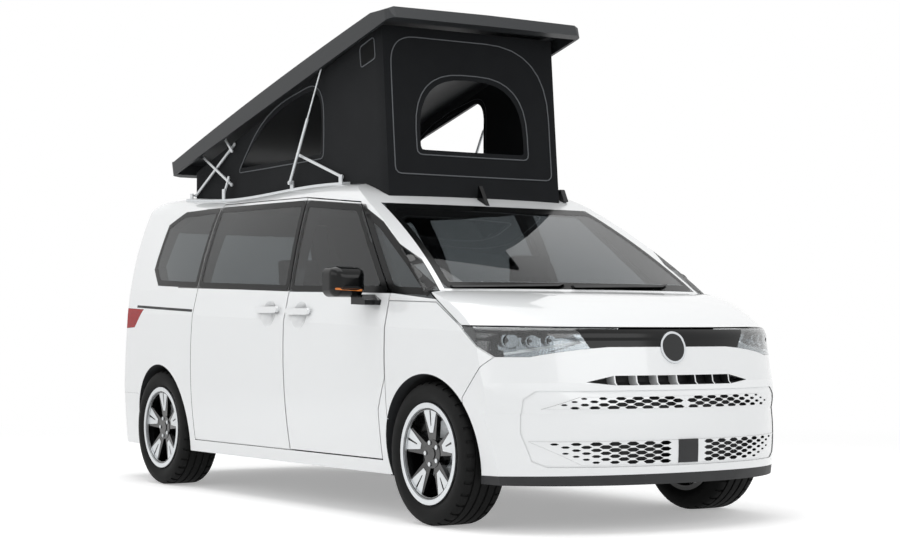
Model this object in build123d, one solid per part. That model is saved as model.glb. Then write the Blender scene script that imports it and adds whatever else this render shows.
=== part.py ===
"""Camper van with a raised front-opening pop-top roof.

Millimetres. Origin on the ground below the middle of the length, +X forward, +Y left, +Z up.
The body is one envelope, hollowed and then split along the real shut lines.
"""
import os
from functools import lru_cache
from math import atan2, cos, degrees, hypot, radians, sin

from build123d import *

# Chassis: the wheelbase is the known size, the overhangs were scaled from it.
WHEELBASE = 3124
FRONT_OVERHANG = 868
REAR_OVERHANG = 938
TYRE_R = 356
TYRE_W = 255
RIM_R = 238
WHEEL_Y = 820
KINGPIN_Y = 770
ARCH_R = 392
FRONT_WELL_Y = 480
REAR_WELL_Y = 600

# Body skin.
HALF_WIDTH = 970
SILL_Z = 230
ROOF_Z = 1800
ROOF_CROWN = 38
TUMBLEHOME = 205
WALL = 60
GLASS = 8
GLASS_BORDER = 34
SHUT_GAP = 7
SEAM = 0.4
SEAM_GROOVE = 5
FIT = 0.3
BEAD_FIT = 0.7
FLOOR_Z = 300
FLOOR_T = 45

# Pop-top roof, described closed and then swung up about its virtual hinge line.
LIFT_DEG = 15.4
LIFT_X = -2395
LIFT_Z = 1900
POP_HALF_WIDTH = 684
POP_FRONT_HALF = 652
POP_CORNER = 60
POP_SKIRT_T = 18
TENT_HALF_WIDTH = 588
TENT_T = 12

# Places that follow from the driving dimensions.
LENGTH = WHEELBASE + FRONT_OVERHANG + REAR_OVERHANG
FRONT = LENGTH / 2
REAR = -LENGTH / 2
FA = FRONT - FRONT_OVERHANG
RA = FA - WHEELBASE
SCREEN_BASE_X = FA + 138
SCREEN_BASE_Z = 1165
SCREEN_TOP_X = FA - 865
SCREEN_TOP_Z = 1668
B_PILLAR_X = FA - 1442
A_GAP_X = FA - 362
C_GAP_X = RA + 512
BULKHEAD_X = FA + 43
TAILGATE_X = REAR + 262
TAIL_DEPTH = 430


def line(a, b):
    return Edge.make_line(Vector(*a), Vector(*b))


def arc(a, b, c):
    return Edge.make_three_point_arc(Vector(*a), Vector(*b), Vector(*c))


def grown(points, by):
    """The outline with every side moved out by the same distance, corners kept sharp."""
    count = len(points)
    turn = sum(
        points[i - 1][0] * points[i][1] - points[i][0] * points[i - 1][1] for i in range(count)
    )
    sides = []
    for i in range(count):
        (x0, y0), (x1, y1) = points[i - 1], points[i]
        run = hypot(x1 - x0, y1 - y0) * (1 if turn > 0 else -1)
        nx, ny = (y1 - y0) / run, (x0 - x1) / run
        sides.append((nx, ny, nx * x0 + ny * y0 + by))
    corners = []
    for (a, b, c), (d, e, f) in zip(sides, sides[1:] + sides[:1]):
        det = a * e - b * d
        corners.append(((c * e - b * f) / det, (a * f - c * d) / det))
    return corners


def prism(points, view, low, high, grow=0.0):
    """Solid between two planes from an outline drawn in view xz, yz or xy."""
    place = {
        "xz": lambda u, v: Vector(u, low, v),
        "yz": lambda u, v: Vector(low, u, v),
        "xy": lambda u, v: Vector(u, v, low),
    }[view]
    run = {"xz": (0, 1, 0), "yz": (1, 0, 0), "xy": (0, 0, 1)}[view]
    outline = grown(points, grow) if grow else points
    wire = Wire.make_polygon([place(u, v) for u, v in outline], close=True)
    return Solid.extrude(Face(wire), Vector(*run) * (high - low))


def box(x, y, z):
    return Pos((x[0] + x[1]) / 2, (y[0] + y[1]) / 2, (z[0] + z[1]) / 2) * Box(
        x[1] - x[0], y[1] - y[0], z[1] - z[0]
    )


def rod(a, b, r):
    """Round bar between two points."""
    start = Vector(*a)
    run = Vector(*b) - start
    return Solid.make_cylinder(r, run.length, Plane(start, z_dir=run))


def across(x, z, r, y0, y1):
    """Round bar along Y."""
    return rod((x, y0, z), (x, y1, z), r)


def left(shape):
    return mirror(shape, about=Plane.XZ)


def both(shape):
    return [shape, left(shape)]


def joined(shapes):
    shapes = list(shapes)
    return shapes[0].fuse(*shapes[1:])


# Cross-sections along the length: place, half width, roof edge, shoulder line and belt line.
SECTION_COLUMNS = ("x", "half", "roof", "shoulder", "belt")
SECTIONS = (
    (REAR - 40, HALF_WIDTH - 75, ROOF_Z - 55, 1095, 1265),
    (RA, HALF_WIDTH - 14, ROOF_Z - 10, 1065, 1240),
    (-300, HALF_WIDTH, ROOF_Z - 12, 1035, 1200),
    (FA - 897, HALF_WIDTH, ROOF_Z - 55, 1000, 1168),
    (FA - 247, HALF_WIDTH - 6, ROOF_Z - 160, 980, 1150),
    (FA + 353, HALF_WIDTH - 40, ROOF_Z - 260, 960, 1120),
    (FRONT + 60, HALF_WIDTH - 120, ROOF_Z - 350, 945, 1095),
)

# How far the nose, windscreen base and tail fall back towards the sides, as shares of the most.
# Columns: y, nose, screen, tail.
PLAN = (
    (0, 0.0, 0.0, 0.0),
    (350, 0.07, 0.12, 0.02),
    (650, 0.29, 0.42, 0.12),
    (850, 0.62, 0.73, 0.50),
    (990, 1.0, 1.0, 1.0),
)
BUMPER_FALL = 535
NOSE_FALL = 415
SCREEN_FALL = 250
HEADER_FALL = 48
TAIL_FALL = 430


def cross_section(row, inset):
    s = dict(zip(SECTION_COLUMNS, row))
    h = s["half"] - inset
    roof = s["roof"] - inset
    waist = s["belt"] - 20
    cant = roof - 95
    side = (
        (h - 58, SILL_Z),
        (h - 14, 520),
        (h, s["shoulder"]),
        (h - 30, waist),
        (h - 0.55 * TUMBLEHOME, (waist + cant) / 2 + 14),
        (h - TUMBLEHOME, cant),
        (h - TUMBLEHOME - 45, roof - 34),
        (h - TUMBLEHOME - 125, roof),
    )
    r = [(s["x"], -y, z) for y, z in side]
    q = [(s["x"], y, z) for y, z in side]
    top = (s["x"], 0, roof + ROOF_CROWN)
    return Wire([
        line(r[0], q[0]),
        arc(q[0], q[1], q[2]),
        line(q[2], q[3]),
        arc(q[3], q[4], q[5]),
        arc(q[5], q[6], q[7]),
        arc(q[7], top, r[7]),
        arc(r[7], r[6], r[5]),
        arc(r[5], r[4], r[3]),
        line(r[3], r[2]),
        arc(r[2], r[1], r[0]),
    ])


def long_section(y, nose, screen, tail_share, inset):
    """Nose, bonnet, windscreen and tail in side view, at one distance from the middle."""
    b = FRONT - BUMPER_FALL * nose - inset
    n = FRONT - NOSE_FALL * nose - inset
    g = SCREEN_BASE_X - SCREEN_FALL * screen - 0.4 * inset
    h = SCREEN_TOP_X - HEADER_FALL * screen - 0.45 * inset
    t = REAR + TAIL_FALL * tail_share + inset

    def at(x, z):
        return (x, y, z)

    chin = at(b - 25, 180)
    lip = at(b, 330)
    brow = at(b - 7, 570)
    step = at(n - 80, 715)
    edge = at(n - 119, 915)
    lid = at(n - 175 + inset / 2, 990 - inset)
    base = at(g, SCREEN_BASE_Z - inset)
    header = at(h, SCREEN_TOP_Z - 0.9 * inset)
    brim = at(h - 432, SCREEN_TOP_Z + 138 - inset)
    sky = at(h - 930, 2080)
    crest = at(t + 315, 2080)
    spoiler = at(t + 180, 1760)
    pane = at(t + 60, 1150)
    latch = at(t + 15, 760)
    bump = at(t, 600)
    tail = at(t + 25, 180)
    lid_mid = at((lid[0] + base[0]) / 2 + 8, (lid[2] + base[2]) / 2 + 30)
    glass_mid = at((base[0] + header[0]) / 2 + 8, (base[2] + header[2]) / 2 + 18)
    brow_mid = at(b + 4, 450)
    step_mid = at((brow[0] + step[0]) / 2 + 15, 652)
    edge_mid = at(n - 131 + 0.1 * inset, 962 - 0.6 * inset)
    brim_mid = at(h - 196, SCREEN_TOP_Z + 79 - 0.95 * inset)
    return Wire([
        line(tail, chin),
        line(chin, lip),
        arc(lip, brow_mid, brow),
        arc(brow, step_mid, step),
        line(step, edge),
        arc(edge, edge_mid, lid),
        arc(lid, lid_mid, base),
        arc(base, glass_mid, header),
        arc(header, brim_mid, brim),
        line(brim, sky),
        line(sky, crest),
        line(crest, spoiler),
        line(spoiler, pane),
        line(pane, latch),
        line(latch, bump),
        line(bump, tail),
    ])


@lru_cache
def nose_form(inset):
    """The form of nose, screen and tail alone, its skin moved in by the inset."""
    rows = [(-row[0],) + row[1:] for row in reversed(PLAN[1:])] + list(PLAN)
    return Solid.make_loft([long_section(*row, inset) for row in rows])


@lru_cache
def envelope(inset):
    """The closed body form, its skin moved in by the inset."""
    sides = Solid.make_loft([cross_section(row, inset) for row in SECTIONS])
    return sides & nose_form(inset)


OUTER = envelope(0)
UNDER_GLASS = envelope(GLASS)
INNER = envelope(WALL)
LINER = envelope(WALL + FIT)
RECESS = OUTER - UNDER_GLASS
PANE = OUTER - envelope(GLASS - FIT)

# Wheel wells, right side: axle, inner wall.
WELLS = ((FA, FRONT_WELL_Y), (RA, REAR_WELL_Y))
well_cuts = [across(x, TYRE_R, ARCH_R, -1200, -y) for x, y in WELLS]
well_cuts += [left(cut) for cut in well_cuts]
SHELL = OUTER.cut(INNER, *well_cuts)

# Shut lines in side view.
DOOR = (
    (B_PILLAR_X, 300), (B_PILLAR_X, 1180), (B_PILLAR_X - 112, 1722), (A_GAP_X - 585, 1664),
    (A_GAP_X, 1155), (A_GAP_X, 720), (A_GAP_X - 75, 560), (A_GAP_X - 85, 300),
)
SLIDING_DOOR = (
    (B_PILLAR_X, 300), (B_PILLAR_X, 1180), (B_PILLAR_X - 112, 1722), (C_GAP_X - 66, 1742),
    (C_GAP_X + 10, 1222), (C_GAP_X - 32, 560), (C_GAP_X - 45, 300),
)
BONNET_LINE = ((SCREEN_BASE_X - 175, 1165), (FA + 288, 985), (FRONT + 135, 967))
LAMP_LINE = ((FA + 488, 838), (FA + 593, 838), (FRONT - 145, 885), (FRONT + 135, 885))
WING = (
    (A_GAP_X, 200), (A_GAP_X, 1119), (FA + 60, 1106), BONNET_LINE[1], LAMP_LINE[0],
    (FA + 300, 640), (FA + 300, 200),
)
LAMP = (BONNET_LINE[1], LAMP_LINE[0], LAMP_LINE[1], LAMP_LINE[2], LAMP_LINE[3], BONNET_LINE[2])
FRONT_BUMPER = ((FA + 300, 100), (FA + 300, 640)) + LAMP_LINE + ((FRONT + 135, 100),)
REAR_BUMPER = ((REAR - 100, 100), (RA - 360, 100), (RA - 360, 560), (REAR - 100, 560))
TAIL_LAMP = ((RA - 272, 1100), (REAR - 100, 1128), (REAR - 100, 965), (RA - 410, 985))
BONNET = BONNET_LINE + ((FRONT + 135, 1400), (SCREEN_BASE_X - 175, 1400))

# Glass outlines in side view.
DOOR_GLASS = (
    (B_PILLAR_X + 8, 1180), (B_PILLAR_X - 98, 1702), (A_GAP_X - 578, 1647), (A_GAP_X - 12, 1157),
)
SLIDING_GLASS = (
    (B_PILLAR_X - 8, 1182), (B_PILLAR_X - 114, 1704), (C_GAP_X - 56, 1723), (C_GAP_X + 18, 1222),
)
FRONT_QUARTER = ((A_GAP_X, 1156), (A_GAP_X - 566, 1648), (FA - 652, 1540), (FA - 260, 1321), (FA + 54, 1118))
SLIDE_RAIL = ((C_GAP_X - 14, 1077), (C_GAP_X - 14, 1093), (RA - 396, 1128), (RA - 396, 1112))
REAR_QUARTER = (
    (C_GAP_X - 2, 1223), (C_GAP_X - 72, 1723), (RA - 52, 1720), (RA - 251, 1645),
    (RA - 246, 1356), (RA - 102, 1248),
)
# Outlines seen from the front and rear.
SCREEN = ((-812, 1174), (-688, 1655), (688, 1655), (812, 1174))
PILLAR = ((-1200, 1000), (-868, 1000), (-852, 1118), (-716, 1650), (-690, 1760), (-1200, 1760))
TAILGATE = (
    (-700, 565), (-760, 950), (-745, 1130), (-600, 1900), (600, 1900), (745, 1130), (760, 950), (700, 565),
)
GATE_SIDE = (
    (REAR - 200, 500), (REAR + TAIL_DEPTH, 500), (REAR + TAIL_DEPTH, 1660), (TAILGATE_X, 1716),
    (TAILGATE_X, 2000), (REAR - 200, 2000),
)
TAILGATE_GLASS = ((-690, 1190), (-570, 1660), (570, 1660), (690, 1190))
BAND_SIDE = ((-464, 880), (-522, 970), (522, 970), (464, 880))
REACH = 1150
CANT_Y = 650

# Headlamp: lens, pocket outline seen from the front, and round projectors (end, y, z, radius).
LENS_T = 5
LAMP_DEPTH = 48
LAMP_POCKET = ((-880, 872), (-890, 968), (-560, 962), (-500, 905), (-640, 862))
PROJECTORS = ((FRONT, -806, 916, 34), (FRONT, -716, 912, 29), (FRONT, -640, 915, 24))


def side_cut(points, grow, inner=CANT_Y):
    cut = prism(points, "xz", -REACH, -inner, grow)
    if points is FRONT_QUARTER:
        cut = cut & prism(PILLAR, "yz", FA - 1200, FA + 400, grow)
    return cut


def panel(points, inner=CANT_Y, gap=SEAM):
    return SHELL & side_cut(points, -gap, inner)


def seam(points, width):
    """Groove in the skin along the edge of a fixed panel, so that its joint shows."""
    return RECESS & (side_cut(points, SEAM) - side_cut(points, -width))


def glazed(solid, glass_cut, hole_cut):
    """Recess for a flush pane, and the opening that one sees through."""
    return solid.cut(RECESS & glass_cut, hole_cut)


def pane(points):
    """Flush side glass, a little smaller than its recess."""
    return PANE & side_cut(points, -FIT)


parts = {}

# Pull handles in a dished recess: node, place along and up, and the skin's distance from the middle.
HANDLE_COLUMNS = ("node", "x", "z", "skin")
HANDLES = (("door_r", B_PILLAR_X + 169, 1069, 956), ("slide_r", B_PILLAR_X - 193, 1081, 957))
HANDLE_HALF = 128
HANDLE_H = 36
DISH_R = 150
DISH_DEPTH = 20
handle_bars = {}
handle_dishes = {}
for row in HANDLES:
    s = dict(zip(HANDLE_COLUMNS, row))
    skin = -s["skin"]
    bar = box((-HANDLE_HALF, HANDLE_HALF), (skin - 27, skin - 11), (-HANDLE_H / 2, HANDLE_H / 2))
    bar = fillet(bar.edges().filter_by(Axis.Y), HANDLE_H / 2 - 1)
    feet = [
        box((x - 14, x + 14), (skin - 20, skin + 14), (-11, 11)) for x in (22 - HANDLE_HALF, HANDLE_HALF - 22)
    ]
    handle_bars[s["node"]] = Pos(s["x"], 0, s["z"]) * joined([bar] + feet)
    handle_dishes[s["node"]] = Pos(s["x"], skin - DISH_R + DISH_DEPTH, s["z"]) * Sphere(DISH_R)

# Front doors, sliding doors and their glass, right side first.
DOOR_GAP = SHUT_GAP - SEAM
door_r = glazed(panel(DOOR, gap=DOOR_GAP), side_cut(DOOR_GLASS, 0), side_cut(DOOR_GLASS, -GLASS_BORDER))
door_r = joined([door_r - handle_dishes["door_r"], handle_bars["door_r"]])
slide_r = glazed(panel(SLIDING_DOOR), side_cut(SLIDING_GLASS, 0), side_cut(SLIDING_GLASS, -GLASS_BORDER))
slide_r = slide_r.cut(seam(SLIDING_DOOR, SEAM_GROOVE), handle_dishes["slide_r"])
slide_r = joined([slide_r, handle_bars["slide_r"]])
parts["door_r"] = door_r
parts["door_l"] = left(door_r)
parts["door_glass_r"] = pane(DOOR_GLASS)
parts["door_glass_l"] = left(parts["door_glass_r"])
parts["sliding_doors"] = both(slide_r)
parts["slide_rails"] = both(pane(SLIDE_RAIL))

# Windscreen and tailgate.
screen_cut = prism(SCREEN, "yz", SCREEN_TOP_X - 300, FRONT)
screen_hole = prism(SCREEN, "yz", SCREEN_TOP_X - 300, FRONT, -GLASS_BORDER)
parts["windscreen"] = PANE & prism(SCREEN, "yz", SCREEN_TOP_X - 300, FRONT, -FIT)


def gate_form(grow):
    """The tailgate's place: its outline from the rear, back to a line across the roof."""
    outline = prism(TAILGATE, "yz", REAR - 200, REAR + TAIL_DEPTH, grow)
    return outline & prism(GATE_SIDE, "xz", -REACH, REACH, grow)


gate_cut = gate_form(SEAM)
gate_pane = prism(TAILGATE_GLASS, "yz", REAR - 200, REAR + TAIL_DEPTH)
gate_hole = prism(TAILGATE_GLASS, "yz", REAR - 200, REAR + TAIL_DEPTH, -GLASS_BORDER)
parts["tailgate"] = glazed(SHELL & gate_form(-DOOR_GAP), gate_pane, gate_hole)
parts["tailgate_glass"] = PANE & prism(TAILGATE_GLASS, "yz", REAR - 200, REAR + TAIL_DEPTH, -FIT)

# Bonnet: ahead of the bowed windscreen foot and above the shut line.


def bonnet_cut(grow):
    foot = SCREEN_BASE_X + 5 - grow
    corner = foot - SCREEN_FALL
    edge = PLAN[-1][0]
    bow = Wire([
        arc((corner, -edge, 900), (foot, 0, 900), (corner, edge, 900)),
        line((corner, edge, 900), (FRONT + 100, edge, 900)),
        line((FRONT + 100, edge, 900), (FRONT + 100, -edge, 900)),
        line((FRONT + 100, -edge, 900), (corner, -edge, 900)),
    ])
    ahead = Solid.extrude(Face(bow), Vector(0, 0, 500))
    return ahead & prism(BONNET, "xz", -REACH, REACH, grow)


parts["bonnet"] = SHELL & bonnet_cut(-DOOR_GAP)
front_quarter = pane(FRONT_QUARTER) - bonnet_cut(SEAM)
fixed_panes = [pane(SLIDING_GLASS), front_quarter, pane(REAR_QUARTER)]
parts["side_glass"] = [p for one in fixed_panes for p in both(one)]

# Wings, lamps, bumpers and the band between the lamps.
band_keep = prism(BAND_SIDE, "yz", FA, FRONT + 200)
lamp_r = panel(LAMP, 300) - prism(BAND_SIDE, "yz", FA, FRONT + 200, SEAM)
lens_r = lamp_r - envelope(LENS_T)
lamp_body = lamp_r & envelope(LENS_T + FIT)
lamp_pocket = prism(LAMP_POCKET, "yz", FA, FRONT + 200) - envelope(LAMP_DEPTH)
projectors = [
    rod((FA + 200, y, z), (x, y, z), r) & envelope(LENS_T + 8) for x, y, z, r in PROJECTORS
]
lamp_body = joined([lamp_body - lamp_pocket] + [bit & lamp_r for bit in projectors])
parts["headlamps"] = both(lamp_body)
parts["headlamp_lenses"] = both(lens_r)
nose_band = SHELL & band_keep & prism(LAMP, "xz", -REACH, REACH, -SEAM)
parts["wings"] = both(panel(WING, 560) - seam(WING, SEAM_GROOVE))
bumper = SHELL & prism(FRONT_BUMPER, "xz", -REACH, REACH, -SEAM)


def ahead(points, grow=0.0):
    """Cutter for the nose, from an outline seen from the front."""
    return prism(points, "yz", FA + 250, FRONT + 200, grow)


# Nose: shallow pod, two mesh panels with cells that shrink towards the ends, and a vaned slit.
POD = ((-800, 480), (-790, 640), (-740, 678), (740, 678), (790, 640), (800, 480), (760, 345), (700, 318),
       (-700, 318), (-760, 345))
MESH_COLUMNS = ("low", "high", "half_top", "half_low", "rows", "first_row")
MESHES = (
    (592, 648, 560, 720, 4, 598),
    (330, 440, 770, 560, 7, 341),
)
CELL_PITCH = 90
ROW_PITCH = 14.5
CELL = (33, 16, 9.5)
FADE_RUN = 260
FADE_LEAST = 0.45
RADAR_TOP = 442
RADAR = ((-60, 330), (-60, RADAR_TOP), (60, RADAR_TOP), (60, 330))
SLIT_Z = (702, 748)
SLIT_HALF = 354
SLIT_TIP = 505
VANE = 7
LIP_Z = 284

mesh_parts = []
mesh_cuts = []
for row in MESHES:
    s = dict(zip(MESH_COLUMNS, row))
    low_end = (-s["half_low"], s["low"])
    top_end = (-s["half_top"], s["high"])
    outline = (low_end, top_end, (s["half_top"], s["high"]), (s["half_low"], s["low"]))
    mesh_cuts.append(ahead(outline, FIT))
    plate = ahead((low_end, top_end, (-FIT / 2, s["high"]), (-FIT / 2, s["low"])))
    plate = (nose_form(2) & plate) - nose_form(GLASS)
    holes = [ahead(RADAR, FIT)] if s["low"] < RADAR_TOP else []
    for k in range(s["rows"]):
        z = s["first_row"] + k * ROW_PITCH
        share = (z - s["low"]) / (s["high"] - s["low"])
        end = s["half_low"] + share * (s["half_top"] - s["half_low"]) - 30
        y = -CELL_PITCH / 2 * (1 + k % 2)
        while y > -end:
            if s["low"] > RADAR_TOP or y < RADAR[0][0] - CELL[0]:
                fade = min(1.0, FADE_LEAST + (1 - FADE_LEAST) * (end + y) / FADE_RUN)
                b, a, h = (size * fade for size in CELL)
                upper = ((y - b, z), (y - a, z + h), (y + a, z + h))
                lower = ((y + b, z), (y + a, z - h), (y - a, z - h))
                holes.append(ahead(upper + lower))
            y -= CELL_PITCH
    mesh_parts += both(plate.cut(*holes))
parts["grille_mesh"] = mesh_parts

cells = (2 * SLIT_HALF - 5 * VANE) / 6
slit_cuts = [
    ahead(((y, SLIT_Z[0]), (y, SLIT_Z[1]), (y + cells, SLIT_Z[1]), (y + cells, SLIT_Z[0])))
    for y in [-SLIT_HALF + k * (cells + VANE) for k in range(6)]
]
for side in (-1, 1):
    root = side * (SLIT_HALF + VANE)
    slit_cuts.append(ahead(((root, SLIT_Z[0]), (root, SLIT_Z[1]), (side * SLIT_TIP, SLIT_Z[0] + 16))))

BADGE_Z = 882
BADGE_R = 78
badge_axis = ((FRONT - 300, 0, BADGE_Z), (FRONT + 50, 0, BADGE_Z))
badge_cut = rod(*badge_axis, BADGE_R + FIT)
badge_face = rod(*badge_axis, BADGE_R)
parts["badge_disc"] = (badge_face & nose_form(-6)) - nose_form(24)
badge_pocket = badge_cut - nose_form(24 + FIT)
lip_cut = prism(((FA, 100), (FA, LIP_Z - 20), (FRONT + 135, LIP_Z), (FRONT + 135, 100)), "xz", -REACH, REACH)
pod_cut = ahead(POD) - nose_form(5)
parts["front_lip"] = bumper & prism(
    ((FA, 100), (FA, LIP_Z - 20 - SEAM), (FRONT + 135, LIP_Z - SEAM), (FRONT + 135, 100)), "xz", -REACH, REACH
)
parts["radar_cover"] = (nose_form(-2) & ahead(RADAR)) - nose_form(30)
parts["front_bumper"] = bumper.cut(pod_cut, lip_cut, badge_pocket, ahead(RADAR, FIT), *mesh_cuts, *slit_cuts)
BACKING = (
    (-790, 300), (-790, 775), (-900, 775), (-900, 985), (900, 985), (900, 775), (790, 775), (790, 300),
)
parts["grille_backing"] = (LINER & ahead(BACKING)) - nose_form(WALL + 8)
parts["nose_band"] = nose_band - badge_pocket
parts["rear_bumper"] = SHELL & prism(REAR_BUMPER, "xz", -REACH, REACH, -SEAM)
tail_r = panel(TAIL_LAMP, 300) - gate_cut
parts["tail_lamps"] = both(tail_r)

# What is left of the shell is the body: roof, pillars, quarters and sills.
cuts = []
for points, inner in ((DOOR, CANT_Y), (SLIDING_DOOR, CANT_Y), (WING, 560), (TAIL_LAMP, 300)):
    cuts += both(side_cut(points, SEAM, inner))
cuts += both(RECESS & side_cut(SLIDE_RAIL, 0))
for points in (FRONT_QUARTER, REAR_QUARTER):
    cuts += both(RECESS & side_cut(points, 0))
    cuts += both(side_cut(points, -GLASS_BORDER))
cuts.append(RECESS & screen_cut)
cuts.append(screen_hole)
cuts.append(gate_cut)
cuts.append(bonnet_cut(SEAM))
for points in (LAMP, FRONT_BUMPER, REAR_BUMPER):
    cuts.append(prism(points, "xz", -REACH, REACH, SEAM))
cuts.append(box((-1250, 300), (-430, 430), (1650, 1950)))
parts["body_shell"] = SHELL.cut(*cuts)

# Floor, bulkhead, rear cross member, wheel housings and jacking pads.
JACK_X = (A_GAP_X - 120, C_GAP_X - 30)
JACK_Y = 800
JACK_Z = 215
JACK_HALF = 35
floor = box((REAR + 70, BULKHEAD_X), (-940, 940), (FLOOR_Z, FLOOR_Z + FLOOR_T))
wall = box((BULKHEAD_X - 25, BULKHEAD_X), (-940, 940), (FLOOR_Z, 1100))
rear_member = box((REAR + 60, REAR + 130), (-640, 640), (FLOOR_Z, 620))
under = [floor, wall, rear_member]
jack_pads = []
for x in JACK_X:
    pad_y = (-JACK_Y - JACK_HALF, JACK_HALF - JACK_Y)
    jack_pads += both(box((x - JACK_HALF, x + JACK_HALF), pad_y, (JACK_Z, FLOOR_Z + 10)))
for x, y in WELLS:
    ring = across(x, TYRE_R, ARCH_R + 12, -940, 12 - y) & box((x - 500, x + 500), (-1000, 0), (FLOOR_Z, 900))
    under += both(ring)
housing = joined(under) & LINER
parts["underbody"] = joined([housing.cut(*well_cuts)] + jack_pads)

# Running gear.
ARM_END = 20
arm_plan = (
    (FA - 45, -400), (FA - 45, 60 - KINGPIN_Y), (FA - ARM_END, -KINGPIN_Y - ARM_END),
    (FA + ARM_END, -KINGPIN_Y - ARM_END), (FA + 45, 60 - KINGPIN_Y), (FA + 45, -400),
)
arm = prism(arm_plan, "xy", 215, 255)
kingpin = rod((FA, -KINGPIN_Y, 215), (FA, -KINGPIN_Y, 486), 16)
subframe = box((FA - 160, FA + 160), (-430, 430), (225, FLOOR_Z - FIT))
parts["front_axle"] = joined([subframe] + both(arm) + both(kingpin))
sleeve = rod((FA, -KINGPIN_Y, 255 + FIT), (FA, -KINGPIN_Y, 470), 30)
stub = across(FA, TYRE_R, 25, -KINGPIN_Y, -856)
knuckle = joined([sleeve, stub]) - rod((FA, -KINGPIN_Y, 200), (FA, -KINGPIN_Y, 500), 16 + FIT)
parts["knuckle_r"] = knuckle
parts["knuckle_l"] = left(knuckle)
beam = box((RA - 40, RA + 40), (-690, 690), (215, 290))
legs = both(box((RA - 40, RA + 40), (-690, -620), (215, 410)))
pads = both(box((RA - 60, RA + 60), (-500, -400), (280, FLOOR_Z - FIT)))
stubs = both(across(RA, TYRE_R, 25, -650, -856))
parts["rear_axle"] = joined([beam] + legs + pads + stubs)
parts["engine_block"] = box((BULKHEAD_X + FIT, FRONT - 260), (-340, 340), (340, 880))

# Wheels, drawn about their own axis with +Z outwards.
BEAD = (RIM_R + BEAD_FIT, 0, 104)
HEEL = (RIM_R + 18, 0, 108)
SIDEWALL = (300, 0, TYRE_W / 2)
SHOULDER = (TYRE_R, 0, 92)


def inward(point):
    return (point[0], point[1], -point[2])


tyre_half = (line(BEAD, HEEL), arc(HEEL, (275, 0, 121), SIDEWALL), arc(SIDEWALL, (340, 0, 118), SHOULDER))
tyre_ring = Wire(
    list(tyre_half)
    + [line(SHOULDER, inward(SHOULDER)), line(BEAD, inward(BEAD))]
    + [line(inward(BEAD), inward(HEEL)), arc(inward(HEEL), (275, 0, -121), inward(SIDEWALL))]
    + [arc(inward(SIDEWALL), (340, 0, -118), inward(SHOULDER))]
)
tyre = Solid.revolve(Face(tyre_ring), 360, Axis.Z)
barrel = Cylinder(RIM_R, 230) - Cylinder(RIM_R - 11, 300)
lips = [Pos(0, 0, z) * (Cylinder(RIM_R + 14, 9) - Cylinder(RIM_R - 11, 20)) for z in (-115, 115)]
hub = Pos(0, 0, 62) * Cylinder(72, 60)
disc = Pos(0, 0, 0) * Cylinder(162, 22)
hat = Pos(0, 0, 22) * Cylinder(78, 44)


def dish(rise):
    """Shallow cone that the wheel face follows, outer face raised by the given amount."""
    back = 58
    ring = Wire.make_polygon(
        [(0, 0, back), (0, 0, 84 + rise), (RIM_R - 6, 0, 102 + rise), (RIM_R - 6, 0, 78)], close=True
    )
    return Solid.revolve(Face(ring), 360, Axis.Z)


# Five dark spokes, each with a bright wedge face that is split by a slot.
SPOKES = 5
FACE_RISE = 2.5
spoke_form = prism(((40, -24), (RIM_R - 8, -70), (RIM_R - 8, 70), (40, 24)), "xy", 40, 120)
wedge_form = prism(((104, -15), (RIM_R - 8, -64), (RIM_R - 8, 64), (104, 15)), "xy", 40, 120)
slot_form = prism(((112, -3), (RIM_R - 24, -6), (RIM_R - 24, 6), (112, 3)), "xy", 96, 120)
spoke = (dish(0) & spoke_form).fuse(dish(FACE_RISE) & wedge_form) - slot_form
ring_face = Pos(0, 0, 108) * (Cylinder(RIM_R - 2, 8) - Cylinder(RIM_R - 22, 20))
bolts = [Rot(0, 0, 36 + 72 * k) * Pos(56, 0, 90) * Cylinder(11, 16) for k in range(SPOKES)]
cap = Pos(0, 0, 92) * Cylinder(29, 8)
turned = [Rot(0, 0, 90 + 72 * k) * spoke for k in range(SPOKES)]
bore = Pos(0, 0, 12) * Cylinder(25 + FIT, 50)
rim = joined([barrel] + lips + [hub, disc, hat, ring_face, cap] + turned + bolts) - bore
WHEELS = (("fr", FA, -1), ("fl", FA, 1), ("rr", RA, -1), ("rl", RA, 1))
for name, x, side in WHEELS:
    place = Pos(x, side * WHEEL_Y, TYRE_R) * Rot(-90 * side, 0, 0)
    parts["tyre_" + name] = place * tyre
    parts["rim_" + name] = place * rim

# Cabin: dashboard, seats, steering wheel.
DASH = (
    (BULKHEAD_X - 330, 790), (BULKHEAD_X - 340, 930), (BULKHEAD_X - 300, 985),
    (BULKHEAD_X - 26, 1075), (BULKHEAD_X - 25 - FIT, 790),
)
SEAT_BACK_X = FA - 1080
SEAT = (
    (FA - 960, FLOOR_Z + FLOOR_T + FIT), (FA - 980, 640), (SEAT_BACK_X, 1195), (SEAT_BACK_X + 115, 1195),
    (FA - 900, 760), (FA - 440, 780), (FA - 420, 640), (FA - 480, FLOOR_Z + FLOOR_T + FIT),
)
SEAT_Y = (-660, -180)
HEAD_Z = (1225, 1400)
rear_shift = -1230
seat_mid = sum(SEAT_Y) / 2
head = box((SEAT_BACK_X + 5, SEAT_BACK_X + 95), (seat_mid - 125, seat_mid + 125), HEAD_Z)
head = fillet(head.edges().filter_by(Axis.X), 40)
post_x = SEAT_BACK_X + 50
posts = [
    rod((post_x, seat_mid + y, 1150), (post_x, seat_mid + y, HEAD_Z[0] + 30), 8) for y in (-60, 60)
]
front_seat = joined([prism(SEAT, "xz", *SEAT_Y), head] + posts)
rear_seat = Pos(rear_shift, 0, 0) * front_seat
parts["seats"] = both(front_seat) + both(rear_seat)
wheel_at = Vector(FA - 480, 400, 1010)
column_dir = Vector(1, 0, -0.45).normalized()
ring_plane = Plane(wheel_at, z_dir=column_dir)
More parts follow.
